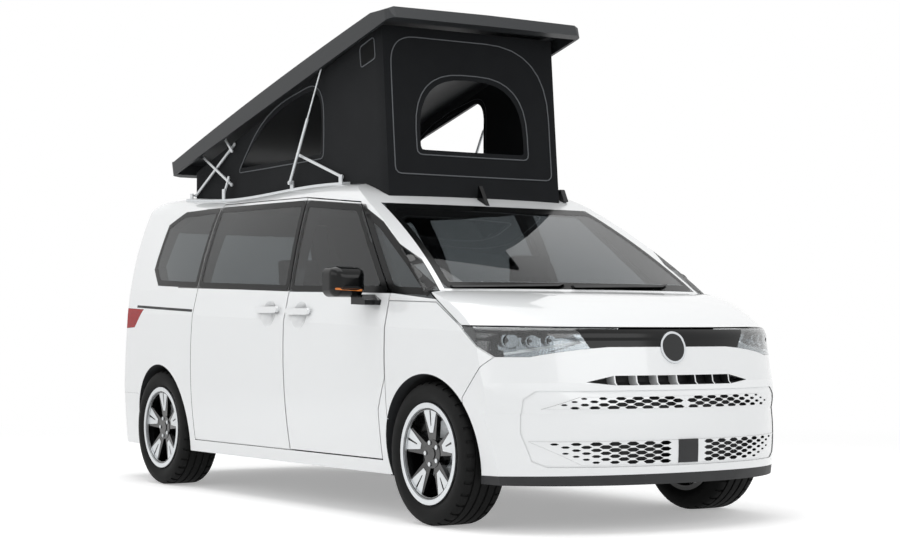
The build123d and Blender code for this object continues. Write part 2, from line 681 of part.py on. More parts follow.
steer_ring = ring_plane * Torus(182, 15)
steer_spokes = [ring_plane * Rot(0, 0, a) * Pos(92, 0, 4) * Box(184, 34, 12) for a in (90, 210, 330)]
COLUMN = 165
column = rod(wheel_at, wheel_at + column_dir * COLUMN, 28)
parts["steering_wheel"] = joined([steer_ring, column] + steer_spokes)
shroud = rod(wheel_at + column_dir * (COLUMN + FIT), wheel_at + column_dir * (COLUMN + 90), 36)
parts["dashboard"] = joined([prism(DASH, "xz", -850, 850) & LINER, shroud])

# Pop-top roof, closed, then swung up.
LIFT_AXIS = Axis((LIFT_X, 0, LIFT_Z), (0, 1, 0))


def raised(shape):
    return shape.rotate(LIFT_AXIS, -LIFT_DEG)


def raised_point(x, z):
    a = radians(LIFT_DEG)
    u = x - LIFT_X
    w = z - LIFT_Z
    return (LIFT_X + u * cos(a) - w * sin(a), LIFT_Z + u * sin(a) + w * cos(a))


POP_REAR = RA - 420
POP_FRONT = FA - 745
POP_BEND = FA - 926


def pop_side(y, drop):
    """Outline of the pop-top in side view, with its rim taken down towards the sides."""
    foot = (POP_REAR + drop, y, 1850)
    heel = (POP_REAR + drop, y, 1900)
    back_mid = (POP_REAR + 8 + drop, y, 1945 - drop / 2)
    back = (POP_REAR + 40 + drop, y, 1960 - drop)
    crown = (-600, y, 1956 - drop)
    bend = (POP_BEND, y, 1914 - drop)
    brow = (POP_FRONT - drop, y, 1868 - drop)
    toe = (POP_FRONT + 12 - drop, y, 1795)
    return Wire([
        line(foot, heel), arc(heel, back_mid, back), arc(back, crown, bend),
        line(bend, brow), line(brow, toe), line(toe, foot),
    ])


pop_block = Solid.make_loft(
    [pop_side(-POP_HALF_WIDTH, 28), pop_side(-POP_HALF_WIDTH + 70, 4), pop_side(0, 0),
     pop_side(POP_HALF_WIDTH - 70, 4), pop_side(POP_HALF_WIDTH, 28)],
    ruled=True,
)
POP_CAVITY = (
    (POP_REAR + 60, 1700), (POP_REAR + 60, 1916), (-600, 1922), (POP_BEND - 10, 1872),
    (POP_FRONT - 50, 1832), (POP_FRONT - 50, 1700),
)


def pop_plan(inset, corner):
    """Plan of the pop-top, a little narrower in front, with rounded corners."""
    back = POP_REAR + inset
    front = POP_FRONT + 12 - inset
    rear_half = POP_HALF_WIDTH - inset
    front_half = POP_FRONT_HALF - inset
    outline = ((back, -rear_half), (front, -front_half), (front, front_half), (back, rear_half))
    block = prism(outline, "xy", 1600, 2100)
    return fillet(block.edges().filter_by(Axis.Z), corner)


pop_block = pop_block & pop_plan(0, POP_CORNER)
cavity = prism(POP_CAVITY, "xz", -REACH, REACH) & pop_plan(POP_SKIRT_T, POP_CORNER - POP_SKIRT_T)


def skirt_y(x):
    share = (x - POP_REAR) / (POP_FRONT - POP_REAR)
    return POP_HALF_WIDTH - POP_SKIRT_T + share * (POP_FRONT_HALF - POP_HALF_WIDTH)


# Pins on the pop-top, closed: place and reach inwards from the skirt.
POP_PINS = {"Q": (-1588, 1862, 605), "T": (-1246, 1861, 615), "U": (38, 1845, 612)}
PIN_R = 6
pop_pins = [across(x, z, PIN_R, -skirt_y(x) - 4, -reach) for x, z, reach in POP_PINS.values()]
LID_GAP = 7
CROWN_Z = 1859
CROWN_R = 4100
crown_mid = CROWN_Z + LID_GAP - CROWN_R
crown = rod((POP_REAR - 50, 0, crown_mid), (POP_REAR + 110, 0, crown_mid), CROWN_R)
pop_top = joined([pop_block.cut(cavity, crown)] + [p for one in pop_pins for p in both(one)])
parts["pop_top"] = raised(pop_top)

# Rails on the roof with lugs and pins for the links: place, lug span, pin span.
RAIL_PINS = {
    "P": (-1740, 1840, (625, 632), (594, 632)),
    "R": (-1260, 1840, (635, 641), (624, 641)),
    "L": (-420, 1838, (603, 610), (603, 630)),
    "V": (158, 1836, (603, 610), (592, 610)),
}
rail_strip = (envelope(-12) & box((-1790, 240), (-645, -592), (1500, 2000))) - envelope(-FIT)
rail_bits = [rail_strip]
for x, z, lug, pin in RAIL_PINS.values():
    ear = box((x - 18, x + 18), (-lug[1], -lug[0]), (z - 60, z + 12)) - envelope(-FIT)
    rail_bits += [ear, across(x, z, PIN_R, -pin[1], -pin[0])]
rail = joined(rail_bits)
parts["roof_rails"] = both(rail)

# Links at rest: start pin, direction and length, plane of the bar.
LINK_COLUMNS = ("node", "pin", "angle", "length", "inner", "outer")
LINKS = (
    ("arms_a", "P", 27.8, 622, 595, 603),
    ("arms_b", "Q", -26.6, 447, 605, 613),
    ("upper_rockers", "T", -41.6, 120, 615, 623),
    ("lower_rockers", "R", 58.0, 94, 625, 633),
    ("braces", "V", 162.2, 555, 593, 601),
)
for row in LINKS:
    s = dict(zip(LINK_COLUMNS, row))
    if s["pin"] in RAIL_PINS:
        px, pz = RAIL_PINS[s["pin"]][:2]
    else:
        px, pz = raised_point(*POP_PINS[s["pin"]][:2])
    run = s["length"]
    bar = box((0, run), (-s["outer"], -s["inner"]), (-8, 8))
    ends = [across(x, 0, 11, -s["outer"], -s["inner"]) for x in (0, run)]
    hole = across(0, 0, PIN_R + FIT, -s["outer"] - 1, -s["inner"] + 1)
    link = joined([bar] + ends) - hole
    link = Pos(px, 0, pz) * Rot(0, -s["angle"], 0) * link
    parts[s["node"]] = both(link)

# Telescopic struts between rail pin L and pop-top pin U.
STRUT_Y = 621
TUBE_LEN = 420
lx, lz = RAIL_PINS["L"][:2]
ux, uz = raised_point(*POP_PINS["U"][:2])
strut_len = hypot(ux - lx, uz - lz)
strut_deg = degrees(atan2(uz - lz, ux - lx))
strut_place = Pos(lx, -STRUT_Y, lz) * Rot(0, 90 - strut_deg, 0)
tube = Pos(0, 0, TUBE_LEN / 2) * Cylinder(8.5, TUBE_LEN)
tube = tube - Pos(0, 0, TUBE_LEN / 2 + 20) * Cylinder(5 + FIT, TUBE_LEN)
eye_l = Rot(90, 0, 0) * Cylinder(12, 18)
tube = (joined([tube, eye_l])) - Rot(90, 0, 0) * Cylinder(PIN_R + FIT, 30)
plunger = Pos(0, 0, (strut_len + TUBE_LEN - 40) / 2) * Cylinder(5, strut_len - TUBE_LEN + 40)
eye_u = Pos(0, 0, strut_len) * Rot(90, 0, 0) * Cylinder(12, 16)
plunger = joined([plunger, eye_u]) - Pos(0, 0, strut_len) * Rot(90, 0, 0) * Cylinder(PIN_R + FIT, 30)
parts["strut_tubes"] = both(strut_place * tube)
parts["strut_rods"] = both(strut_place * plunger)

# Tent between van roof and raised pop-top.
TENT = ((-1790, 1720), (-1790, 2010), (565, 2672), (645, 1640))
tent_outer = prism(TENT, "xz", -TENT_HALF_WIDTH, TENT_HALF_WIDTH)
tent_inner = prism(TENT, "xz", TENT_T - TENT_HALF_WIDTH, TENT_HALF_WIDTH - TENT_T, -TENT_T)
tent_open = prism(((-1700, 1600), (-1700, 2300), (540, 2900), (620, 1600)), "xz", -570, 570)
TENT_SIDE_WINDOW = ((-960, 1960), (-250, 2330), (-60, 2310), (10, 2200), (30, 1985), (-20, 1960))
window = [
    line((700, -330, 2030), (700, 330, 2030)),
    line((700, 330, 2030), (700, 330, 2250)),
    arc((700, 330, 2250), (700, 0, 2430), (700, -330, 2250)),
    line((700, -330, 2250), (700, -330, 2030)),
]
front_window = Solid.extrude(Face(Wire(window)), Vector(-300, 0, 0))
side_window = prism(TENT_SIDE_WINDOW, "xz", -700, 700)
tent_walls = (tent_outer - tent_inner).cut(tent_open, front_window, side_window)
parts["tent"] = tent_walls.cut(envelope(-FIT), raised(pop_block - cavity))

fin_x = SCREEN_TOP_X - 62
FIN = ((fin_x - 13, 1660), (fin_x, 1775), (fin_x + 10, 1775), (fin_x + 82, 1660))
parts["roof_fin"] = prism(FIN, "xz", -12, 12) - envelope(-FIT)

# Wipers parked at the foot of the windscreen, outlines seen from the front.
WIPERS = (
    ((-775, 1181), (-210, 1192), (-150, 1208), (-225, 1201), (-775, 1190)),
    ((-120, 1184), (520, 1196), (600, 1214), (515, 1206), (-120, 1195)),
)
parts["wipers"] = [
    (envelope(-12) & prism(points, "yz", SCREEN_TOP_X, FRONT)) - envelope(-FIT) for points in WIPERS
]

# Door mirrors.
MIRROR_X = A_GAP_X - 205
MIRROR_Z = 1212
mirror_head = box((MIRROR_X - 55, MIRROR_X + 75), (-1185, -985), (MIRROR_Z - 76, MIRROR_Z + 82))
mirror_head = fillet(mirror_head.edges().group_by(Axis.X)[-1], 62)
mirror_head = fillet(mirror_head.edges().filter_by(Axis.X), 45)
mirror_glass_cut = box((MIRROR_X - 80, MIRROR_X - 45), (-1172, -998), (MIRROR_Z - 62, MIRROR_Z + 68))
MIRROR_FOOT = (
    (MIRROR_X - 10, 1140), (MIRROR_X + 60, 1150), (MIRROR_X + 130, 1120), (MIRROR_X + 130, 1095),
    (MIRROR_X - 10, 1100),
)
mirror_foot = prism(MIRROR_FOOT, "xz", -1040, -900)
mirror_r = joined([mirror_head - mirror_glass_cut, mirror_foot]) - envelope(-FIT)
parts["mirror_r"] = mirror_r
parts["mirror_l"] = left(mirror_r)


def solids_of(shape):
    if isinstance(shape, (list, tuple, ShapeList)):
        return [s for one in shape for s in one.solids()]
    return list(shape.solids())


os.makedirs("parts", exist_ok=True)
for name, shape in parts.items():
    solids = [s for s in solids_of(shape) if s.volume > 500]
    node = Compound(label=name, children=solids) if len(solids) > 1 else solids[0]
    node.label = name
    export_step(node, "parts/" + name + ".step")
    size = node.bounding_box()
    print(name, len(solids), round(sum(s.volume for s in solids) / 1e6, 2), size)
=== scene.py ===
"""Camper van with a raised pop-top roof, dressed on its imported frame. Metres, +X forward, +Y left, +Z up."""
from math import atan2, cos, pi, radians, sin

import bpy
from mathutils import Matrix, Vector


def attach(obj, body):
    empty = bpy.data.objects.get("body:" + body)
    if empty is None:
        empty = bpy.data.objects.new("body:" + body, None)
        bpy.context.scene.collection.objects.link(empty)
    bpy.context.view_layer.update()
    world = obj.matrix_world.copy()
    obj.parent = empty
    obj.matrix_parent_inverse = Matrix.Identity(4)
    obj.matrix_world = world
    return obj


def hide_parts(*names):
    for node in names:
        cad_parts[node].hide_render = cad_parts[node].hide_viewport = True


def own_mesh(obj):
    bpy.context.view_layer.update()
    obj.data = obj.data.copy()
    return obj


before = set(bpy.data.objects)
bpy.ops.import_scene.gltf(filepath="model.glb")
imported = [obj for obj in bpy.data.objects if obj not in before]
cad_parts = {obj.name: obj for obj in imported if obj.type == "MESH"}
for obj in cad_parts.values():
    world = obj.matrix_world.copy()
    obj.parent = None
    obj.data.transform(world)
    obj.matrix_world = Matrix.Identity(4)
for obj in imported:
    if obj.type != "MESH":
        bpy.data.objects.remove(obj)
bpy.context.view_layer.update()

# Painted body panels
# Pressed steel sheet, welded into the shell or hung on it, in white lacquer under a clear varnish.
# The sides that face the cabin carry dark moulded trim; the painted lip inside each wheel arch is darkened
# with the same colour as painted shade.
PAINT = "#eceeef"
# Dark trim on the cabin side, also used as painted shade inside the wheel arches.
TRIM_AND_ARCH_SHADE = "#1e2022"
PILLAR_BLACK = "#0d0e0f"
PEEL_MM = 4.0
# A face is on the cabin side if it looks towards the cabin's middle line; the length counts for less.
TO_CABIN = (0.0, 0.0, -1.05)
LENGTH_SHARE = 0.35
# The blacked-out pillars lie between these lines, each a height at mid-length and a rise per metre.
BAND_LOW = (1.190, -0.029)
BAND_TOPS = ((1.703, -0.017), (1.710, -0.090))
BAND_FRONT = (2.262, -0.866)
BAND_BACK = -1.3
# Wheel arches: axle places along, axle height (the tyre's radius), and where the turned-in lip begins; the
# paint inside that reach is darkened as painted shade.
FRONT_AXLE, REAR_AXLE = 1.597, -1.527
TYRE_R = 0.356
ARCH_R = 0.395


def linear(code):
    """sRGB hex colour as the linear values that a shader takes."""
    shares = [int(code[i:i + 2], 16) / 255 for i in (1, 3, 5)]
    return [s / 12.92 if s <= 0.04045 else ((s + 0.055) / 1.055) ** 2.4 for s in shares] + [1.0]


def node(material, kind, settings=(), links=()):
    """One shader node with its settings, and the sockets that feed it."""
    made = material.node_tree.nodes.new("ShaderNode" + kind)
    for name, value in dict(settings).items():
        if isinstance(name, str) and hasattr(made, name):
            setattr(made, name, value)
        else:
            made.inputs[name].default_value = value
    for name, socket in dict(links).items():
        material.node_tree.links.new(socket, made.inputs[name])
    return made.outputs


def finish(name, settings):
    """A material whose main shader has these constant values."""
    material = bpy.data.materials.new(name)
    material.use_nodes = True
    shader = material.node_tree.nodes["Principled BSDF"]
    for socket, value in settings.items():
        shader.inputs[socket].default_value = value
    return material


def feed(material, socket, output):
    """An output drives this value of the main shader."""
    shader = material.node_tree.nodes["Principled BSDF"]
    material.node_tree.links.new(output, shader.inputs[socket])


def dress(material, *names):
    """The material goes onto these CAD nodes."""
    for name in names:
        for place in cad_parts[name].material_slots:
            place.material = material


def bumps(material, coords, size_mm, depth_mm, detail=2.0):
    """Fine unevenness of the given grain and depth."""
    grain = node(material, "TexNoise", {"Scale": 1000 / size_mm, "Detail": detail}, {"Vector": coords})
    bump = node(material, "Bump", {"Strength": 1.0, "Distance": depth_mm / 1000}, {"Height": grain[0]})
    feed(material, "Normal", bump[0])


def wave_scale(period_mm):
    """Scale of a wave texture with about this period."""
    return 1000 / (pi * period_mm)


# Car lacquer: a white base coat under varnish gives crisp reflections with a faint orange peel.
lacquer = finish("white_lacquer_on_steel", {"IOR": 1.5, "Coat Roughness": 0.03, "Coat IOR": 1.5})
places = node(lacquer, "TexCoord")
coords, normal = places["Object"], places["Normal"]
outward = node(lacquer, "VectorMath", {
    "operation": "MULTIPLY_ADD", 1: (LENGTH_SHARE, 1, 1), 2: TO_CABIN,
}, {0: coords})[0]
facing = node(lacquer, "VectorMath", {"operation": "DOT_PRODUCT"}, {0: outward, 1: normal})["Value"]
inside = node(lacquer, "Math", {"operation": "LESS_THAN", 1: 0.0}, {0: facing})[0]
# Painted shade: lacquer inside each wheel arch takes the dark trim colour.
for axle in (FRONT_AXLE, REAR_AXLE):
    offset = node(lacquer, "VectorMath", {"operation": "SUBTRACT", 1: (axle, 0, TYRE_R)}, {0: coords})[0]
    offset = node(lacquer, "VectorMath", {"operation": "MULTIPLY", 1: (1, 0, 1)}, {0: offset})[0]
    reach = node(lacquer, "VectorMath", {"operation": "LENGTH"}, {0: offset})["Value"]
    arch_shade = node(lacquer, "Math", {"operation": "LESS_THAN", 1: ARCH_R}, {0: reach})[0]
    inside = node(lacquer, "Math", {"operation": "MAXIMUM"}, {0: inside, 1: arch_shade})[0]
split = node(lacquer, "SeparateXYZ", {}, {0: coords})


def beside(line, sign):
    """1 above a slanting line (sign 1) or below it (sign -1)."""
    level = node(lacquer, "Math", {"operation": "MULTIPLY_ADD", 1: line[1], 2: line[0]}, {0: split["X"]})[0]
    kind = "GREATER_THAN" if sign > 0 else "LESS_THAN"
    return node(lacquer, "Math", {"operation": kind}, {0: split["Z"], 1: level})[0]


band = node(lacquer, "Math", {"operation": "GREATER_THAN", 1: BAND_BACK}, {0: split["X"]})[0]
for limit in (beside(BAND_LOW, 1), *(beside(line, -1) for line in (*BAND_TOPS, BAND_FRONT))):
    band = node(lacquer, "Math", {"operation": "MULTIPLY"}, {0: band, 1: limit})[0]
tint = node(lacquer, "Mix", {"data_type": "RGBA", 6: linear(PAINT), 7: linear(PILLAR_BLACK)}, {0: band})[2]
tint = node(lacquer, "Mix", {"data_type": "RGBA", 7: linear(TRIM_AND_ARCH_SHADE)}, {0: inside, 6: tint})[2]
feed(lacquer, "Base Color", tint)
gloss = node(lacquer, "MapRange", {3: 0.32, 4: 0.8}, {0: inside})[0]
feed(lacquer, "Roughness", gloss)
varnish = node(lacquer, "MapRange", {3: 1.0, 4: 0.0}, {0: inside})[0]
feed(lacquer, "Coat Weight", varnish)
bumps(lacquer, coords, PEEL_MM, 0.004)
dress(
    lacquer, "body_shell", "wings", "bonnet", "front_bumper", "rear_bumper", "tailgate", "door_r", "door_l",
    "sliding_doors", "grille_mesh",
)

# Gloss-black trim
# Injection-moulded plastic with a polished tool face: the band between the lamps, mirror shells and fin.
# Polished ABS is deep and even black, with clear but faint reflections.
gloss_black = finish("polished_black_abs", {
    "Base Color": linear("#08090a"), "Roughness": 0.15, "IOR": 1.35,
})
coords = node(gloss_black, "TexCoord")["Object"]
bumps(gloss_black, coords, 6.0, 0.003)
dress(gloss_black, "nose_band", "mirror_r", "mirror_l", "roof_fin")

# Grained black plastic
# Moulded polypropylene with a leather-like grain: lip, radar cover, slide rails, wipers and grille backing,
# and in the cabin the dashboard and steering wheel.
GRAIN_MM = 1.6
WEAR_MM = 111
# The grain breaks up reflections, so the plastic looks dull, and a little shinier where it is worn.
grained = finish("grained_black_polypropylene", {"Base Color": linear("#17181a"), "IOR": 1.49})
coords = node(grained, "TexCoord")["Object"]
cells = node(grained, "TexVoronoi", {"Scale": 1000 / GRAIN_MM}, {"Vector": coords})
bump = node(grained, "Bump", {"Strength": 0.5, "Distance": 0.0002}, {"Height": cells["Distance"]})
feed(grained, "Normal", bump[0])
worn = node(grained, "TexNoise", {"Scale": 1000 / WEAR_MM, "Detail": 3.0}, {"Vector": coords})
feed(grained, "Roughness", node(grained, "MapRange", {3: 0.45, 4: 0.68}, {0: worn[0]})[0])
dress(
    grained, "front_lip", "radar_cover", "slide_rails", "dashboard", "steering_wheel", "grille_backing",
    "wipers",
)

# Underside and arches
# Welded floor, wheel housings and axles under black wax and stone-chip coating, rough and dull.
# The sprayed wax dries to lumps and hardly reflects.
coating = finish("sprayed_wax_coating", {"Base Color": linear("#121314"), "Roughness": 0.85})
coords = node(coating, "TexCoord")["Object"]
bumps(coating, coords, 3.0, 0.6, 4.0)
dress(coating, "underbody", "front_axle", "rear_axle", "knuckle_r", "knuckle_l", "engine_block")

# Glass
# Laminated windscreen and toughened side panes, tinted in the mass and bonded flush into the shell.


def tinted(name, code):
    """Glass tinted in the mass: clear and grey; the faint wave in what it reflects is added after."""
    return finish(name, {
        "Base Color": linear(code), "Roughness": 0.0, "IOR": 1.33, "Transmission Weight": 1.0,
    })


screen_glass = tinted("laminated_screen_glass", "#969a9c")
side_glass = tinted("tinted_side_glass", "#8d9194")
privacy_glass = tinted("privacy_glass", "#84898b")
for material in (screen_glass, side_glass, privacy_glass):
    bumps(material, node(material, "TexCoord")["Object"], 300.0, 0.02, 0.0)
dress(screen_glass, "windscreen")
dress(side_glass, "door_glass_r", "door_glass_l")
dress(privacy_glass, "side_glass", "tailgate_glass")

# Ceramic borders
# A black ceramic band is fired onto the rim of each pane, and hides the bond and the flange behind it.
# Each is drawn as a flat ring and laid onto its pane.
FRIT_T = 0.0008
FRIT_LIFT = 0.0006
FRIT_W = 0.034
FRIT_EDGE = 0.003
FRIT_CORNER = 0.05
RING_STEPS = 120
# The rings start from planes clear of the body, beside it and at its ends.
BESIDE, BEYOND = 1.3, 2.6
A_GAP, B_PILLAR, C_GAP = 1.235, 0.155, -1.015
DOOR_PANE = (
    (B_PILLAR + 0.006, 1.181), (B_PILLAR - 0.097, 1.700), (A_GAP - 0.577, 1.646), (A_GAP - 0.014, 1.158),
)
SLIDE_PANE = (
    (B_PILLAR - 0.009, 1.183), (B_PILLAR - 0.115, 1.703), (C_GAP - 0.055, 1.722), (C_GAP + 0.017, 1.223),
)
FRONT_PANE = (
    (A_GAP + 0.002, 1.157), (A_GAP - 0.562, 1.646), (FRONT_AXLE - 0.652, 1.538), (FRONT_AXLE - 0.26, 1.319),
    (FRONT_AXLE + 0.03, 1.138),
)
REAR_PANE = (
    (C_GAP - 0.003, 1.224), (C_GAP - 0.071, 1.722), (REAR_AXLE - 0.053, 1.719), (REAR_AXLE - 0.25, 1.644),
    (REAR_AXLE - 0.245, 1.357), (REAR_AXLE - 0.102, 1.249),
)
SCREEN_PANE = ((-0.811, 1.175), (-0.687, 1.654), (0.687, 1.654), (0.811, 1.175))
GATE_PANE = ((-0.689, 1.191), (-0.569, 1.659), (0.569, 1.659), (0.689, 1.191))

# Ceramic paint fired onto glass is flat black and nearly as smooth as the glass.
frit = finish("fired_black_ceramic", {"Base Color": linear("#060707"), "Roughness": 0.25, "IOR": 1.25})
bumps(frit, node(frit, "TexCoord")["Object"], 250.0, 0.02, 0.0)


def only(*pieces):
    """These pieces alone are selected, the last of them active."""
    if bpy.context.object and bpy.context.object.mode != "OBJECT":
        bpy.ops.object.mode_set(mode="OBJECT")
    bpy.ops.object.select_all(action="DESELECT")
    for piece in pieces:
        piece.select_set(True)
        bpy.context.view_layer.objects.active = piece


def rounded(corners, steps=8):
    """Closed outline through corners (u, v, reach), each eased off over its reach."""
    points = []
    for k, (u, v, reach) in enumerate(corners):
        here = Vector((u, v))
        ends = []
        for other in (corners[k - 1], corners[(k + 1) % len(corners)]):
            ends.append(here + (Vector(other[:2]) - here).normalized() * reach)
        for i in range(steps + 1):
            share = i / steps
            points.append(ends[0].lerp(here, share).lerp(here.lerp(ends[1], share), share))
    return points


def spread(points, count):
    """Points at even steps along a closed outline."""
    loop = points + points[:1]
    lengths = [max((b - a).length, 1e-9) for a, b in zip(loop, loop[1:])]
    total, gone, k, even = sum(lengths), 0.0, 0, []
    for i in range(count):
        while gone + lengths[k] < total * i / count:
            gone += lengths[k]
            k += 1
        even.append(loop[k].lerp(loop[k + 1], (total * i / count - gone) / lengths[k]))
    return even


def outline_face(name, corners, fill="NGON"):
    """A flat face or bare loop with the given corners, started from a disc with as many."""
    only()
    bpy.ops.mesh.primitive_circle_add(vertices=len(corners), radius=0.1, fill_type=fill)
    piece = bpy.context.object
    piece.name = name
    for point, corner in zip(piece.data.vertices, corners):
        point.co = corner
    return piece


def applied(piece, kind, **settings):
    """A modifier with its settings, made part of the mesh."""
    only(piece)
    modifier = piece.modifiers.new(kind.lower(), kind)
    for name, value in settings.items():
        setattr(modifier, name, value)
    bpy.ops.object.modifier_apply(modifier=modifier.name)
    return piece


def laid(piece, target, axis, thickness):
    """A flat piece set down on a node along one axis; what misses the node is cut off."""
    begun = [getattr(point.co, axis) for point in piece.data.vertices]
    applied(
        piece, "SHRINKWRAP", target=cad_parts[target], wrap_method="PROJECT",
        use_project_x=axis == "x", use_project_y=axis == "y",
        use_negative_direction=True, use_positive_direction=True, offset=FRIT_LIFT,
    )
    bpy.context.tool_settings.mesh_select_mode = (True, False, False)
    for part in (piece.data.polygons, piece.data.edges, piece.data.vertices):
        part.foreach_set("select", [False] * len(part))
    for point, start in zip(piece.data.vertices, begun):
        point.select = abs(getattr(point.co, axis) - start) < 1e-6
    bpy.ops.object.mode_set(mode="EDIT")
    bpy.ops.mesh.delete(type="VERT")
    bpy.ops.mesh.select_all(action="SELECT")
    bpy.ops.mesh.normals_make_consistent(inside=False)
    bpy.ops.object.mode_set(mode="OBJECT")
    applied(piece, "SOLIDIFY", thickness=thickness, offset=0.0)
    bpy.ops.object.shade_smooth_by_angle(angle=radians(40))
    return piece


def border(name, corners, level, axis, pane, body):
    """A ring round the rim of a pane, from corners seen along the axis."""
    outline = spread(rounded([(u, v, FRIT_CORNER) for u, v in corners]), RING_STEPS)
    places = [(level, p.x, p.y) if axis == "x" else (p.x, level, p.y) for p in outline]
    ring = outline_face(name, places)
    bpy.ops.object.mode_set(mode="EDIT")
    bpy.ops.mesh.select_all(action="SELECT")
    bpy.ops.mesh.inset(thickness=FRIT_EDGE, depth=0)
    bpy.ops.mesh.select_all(action="INVERT")
    bpy.ops.mesh.delete(type="FACE")
    bpy.ops.mesh.select_all(action="SELECT")
    bpy.ops.mesh.inset(thickness=FRIT_W, depth=0)
    bpy.ops.mesh.delete(type="FACE")
    bpy.ops.mesh.select_all(action="SELECT")
    bpy.ops.mesh.subdivide(number_cuts=2)
    bpy.ops.object.mode_set(mode="OBJECT")
    laid(ring, pane, axis, FRIT_T)
    ring.data.materials.append(frit)
    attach(ring, body)


for side, mark in ((-1, "r"), (1, "l")):
    border("frit_door_" + mark, DOOR_PANE, side * BESIDE, "y", "door_glass_" + mark, "door_" + mark)
    for label, pane in (("slide", SLIDE_PANE), ("front", FRONT_PANE), ("rear", REAR_PANE)):
        border("frit_" + label + "_" + mark, pane, side * BESIDE, "y", "side_glass", "van")
border("frit_screen", SCREEN_PANE, BEYOND, "x", "windscreen", "van")
border("frit_gate", GATE_PANE, -BEYOND, "x", "tailgate_glass", "tailgate")

# Headlamps
# A moulded unit with a metallised reflector round each projector, under a clear polycarbonate lens.
# A light bar runs along the lower edge towards the grille.
BOWL_OUT = 0.835
BOWL_TOP = 0.944
# The light bar follows the lower edge: its height at mid-width, fall towards the side, half width.
BAR_AT, BAR_FALL, BAR_HALF = 0.984, 0.157, 0.005
FLUTE_MM = 14
# Moulded polycarbonate is colourless and bends light strongly.
clear = finish("clear_polycarbonate", {
    "Base Color": linear("#f4f7f8"), "Roughness": 0.0, "IOR": 1.58, "Transmission Weight": 1.0,
})
bumps(clear, node(clear, "TexCoord")["Object"], 120.0, 0.02, 0.0)
dress(clear, "headlamp_lenses")
# Plastic metallised in a vacuum: bright in the bowls and darkened round them as painted shade, with a white
# light bar.
mirrored = finish("metallised_plastic", {"Roughness": 0.22})
coords = node(mirrored, "TexCoord")["Object"]
split = node(mirrored, "SeparateXYZ", {}, {0: coords})
outer = node(mirrored, "Math", {"operation": "ABSOLUTE"}, {0: split["Y"]})[0]
within = node(mirrored, "Math", {"operation": "LESS_THAN", 1: BOWL_OUT}, {0: outer})[0]
under = node(mirrored, "Math", {"operation": "LESS_THAN", 1: BOWL_TOP}, {0: split["Z"]})[0]
bowl = node(mirrored, "Math", {"operation": "MULTIPLY"}, {0: within, 1: under})[0]
# Painted shade: the reflector's colour turns dark above and outside the bowls.
shade = node(mirrored, "Mix", {
    "data_type": "RGBA", 6: linear("#17191b"), 7: linear("#8f9498"),
}, {0: bowl})[2]
rise = node(mirrored, "Math", {"operation": "MULTIPLY_ADD", 1: BAR_FALL}, {0: outer, 2: split["Z"]})[0]
guide = node(mirrored, "Math", {"operation": "COMPARE", 1: BAR_AT, 2: BAR_HALF}, {0: rise})[0]
guide = node(mirrored, "Math", {"operation": "MULTIPLY"}, {0: guide, 1: within})[0]
shade = node(mirrored, "Mix", {"data_type": "RGBA", 7: linear("#f2f5f7")}, {0: guide, 6: shade})[2]
feed(mirrored, "Base Color", shade)
feed(mirrored, "Metallic", node(mirrored, "MapRange", {3: 1.0, 4: 0.0}, {0: guide})[0])
flutes = node(mirrored, "TexWave", {
    "Scale": wave_scale(FLUTE_MM), "bands_direction": "Y",
}, {"Vector": coords})
bump = node(mirrored, "Bump", {"Strength": 0.35, "Distance": 0.002}, {"Height": flutes["Fac"]})
feed(mirrored, "Normal", bump[0])
dress(mirrored, "headlamps")
# The rings round the projectors are metallised over dark plastic, with a grey, soft gleam.
bezel = finish("smoked_metallised_plastic", {
    "Base Color": linear("#1b1d1f"), "Roughness": 0.3, "Metallic": 0.6,
})
bumps(bezel, node(bezel, "TexCoord")["Object"], 3.0, 0.02)
# Projector places: along, across, up, radius. Each has steps of a width, a share of the radius and a depth.
PROJECTORS = ((2.105, 0.806, 0.916, 0.030), (2.170, 0.716, 0.912, 0.026), (2.215, 0.640, 0.915, 0.021))
BEZEL_STEPS = ((0.004, 0.0, 0.004), (0.003, 0.0, -0.006), (0.0, 0.35, 0.006), (0.0, 0.25, 0.003))
BEZEL_T = 0.002
for side, mark in ((-1, "r"), (1, "l")):
    for k, (x, y, z, r) in enumerate(PROJECTORS):
        only()
        bpy.ops.mesh.primitive_circle_add(
            vertices=40, radius=r, fill_type="NGON", location=(x, side * y, z), rotation=(0, pi / 2, 0),
        )
        ring = bpy.context.object
        ring.name = "projector_%s_%d" % (mark, k)
        bpy.ops.object.transform_apply(location=True, rotation=True, scale=True)
        bpy.ops.object.mode_set(mode="EDIT")
        bpy.ops.mesh.select_all(action="SELECT")
        for width, share, depth in BEZEL_STEPS:
            bpy.ops.mesh.inset(thickness=width + r * share, depth=depth)
        bpy.ops.mesh.select_all(action="SELECT")
        bpy.ops.mesh.normals_make_consistent(inside=False)
        bpy.ops.object.mode_set(mode="OBJECT")
        bpy.ops.object.shade_smooth_by_angle(angle=radians(40))
        applied(ring, "SOLIDIFY", thickness=BEZEL_T, offset=-1.0)
        ring.data.materials.append(bezel)
        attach(ring, "van")

# Tail lamps
# Deep red moulded lenses with fine level flutes on the inside, drawn as stripes of two depths of red.
STRIPE_MM = 8
# Acrylic dyed in the mass looks dark red while the lamp is off.
red_lens = finish("moulded_red_acrylic", {"Roughness": 0.2, "IOR": 1.2})
coords = node(red_lens, "TexCoord")["Object"]
flutes = node(red_lens, "TexWave", {
    "Scale": wave_scale(STRIPE_MM), "bands_direction": "Z",
}, {"Vector": coords})
shade = node(red_lens, "Mix", {
    "data_type": "RGBA", 6: linear("#8a050a"), 7: linear("#ad0a11"),
}, {0: flutes["Fac"]})[2]
feed(red_lens, "Base Color", shade)
dress(red_lens, "tail_lamps")

# Front roundel
# A plain disc on the nose, bright ring round a black field, left bare.
ROUNDEL_R = 0.078
ROUNDEL_Z = 0.882
ROUNDEL_RING = 0.011
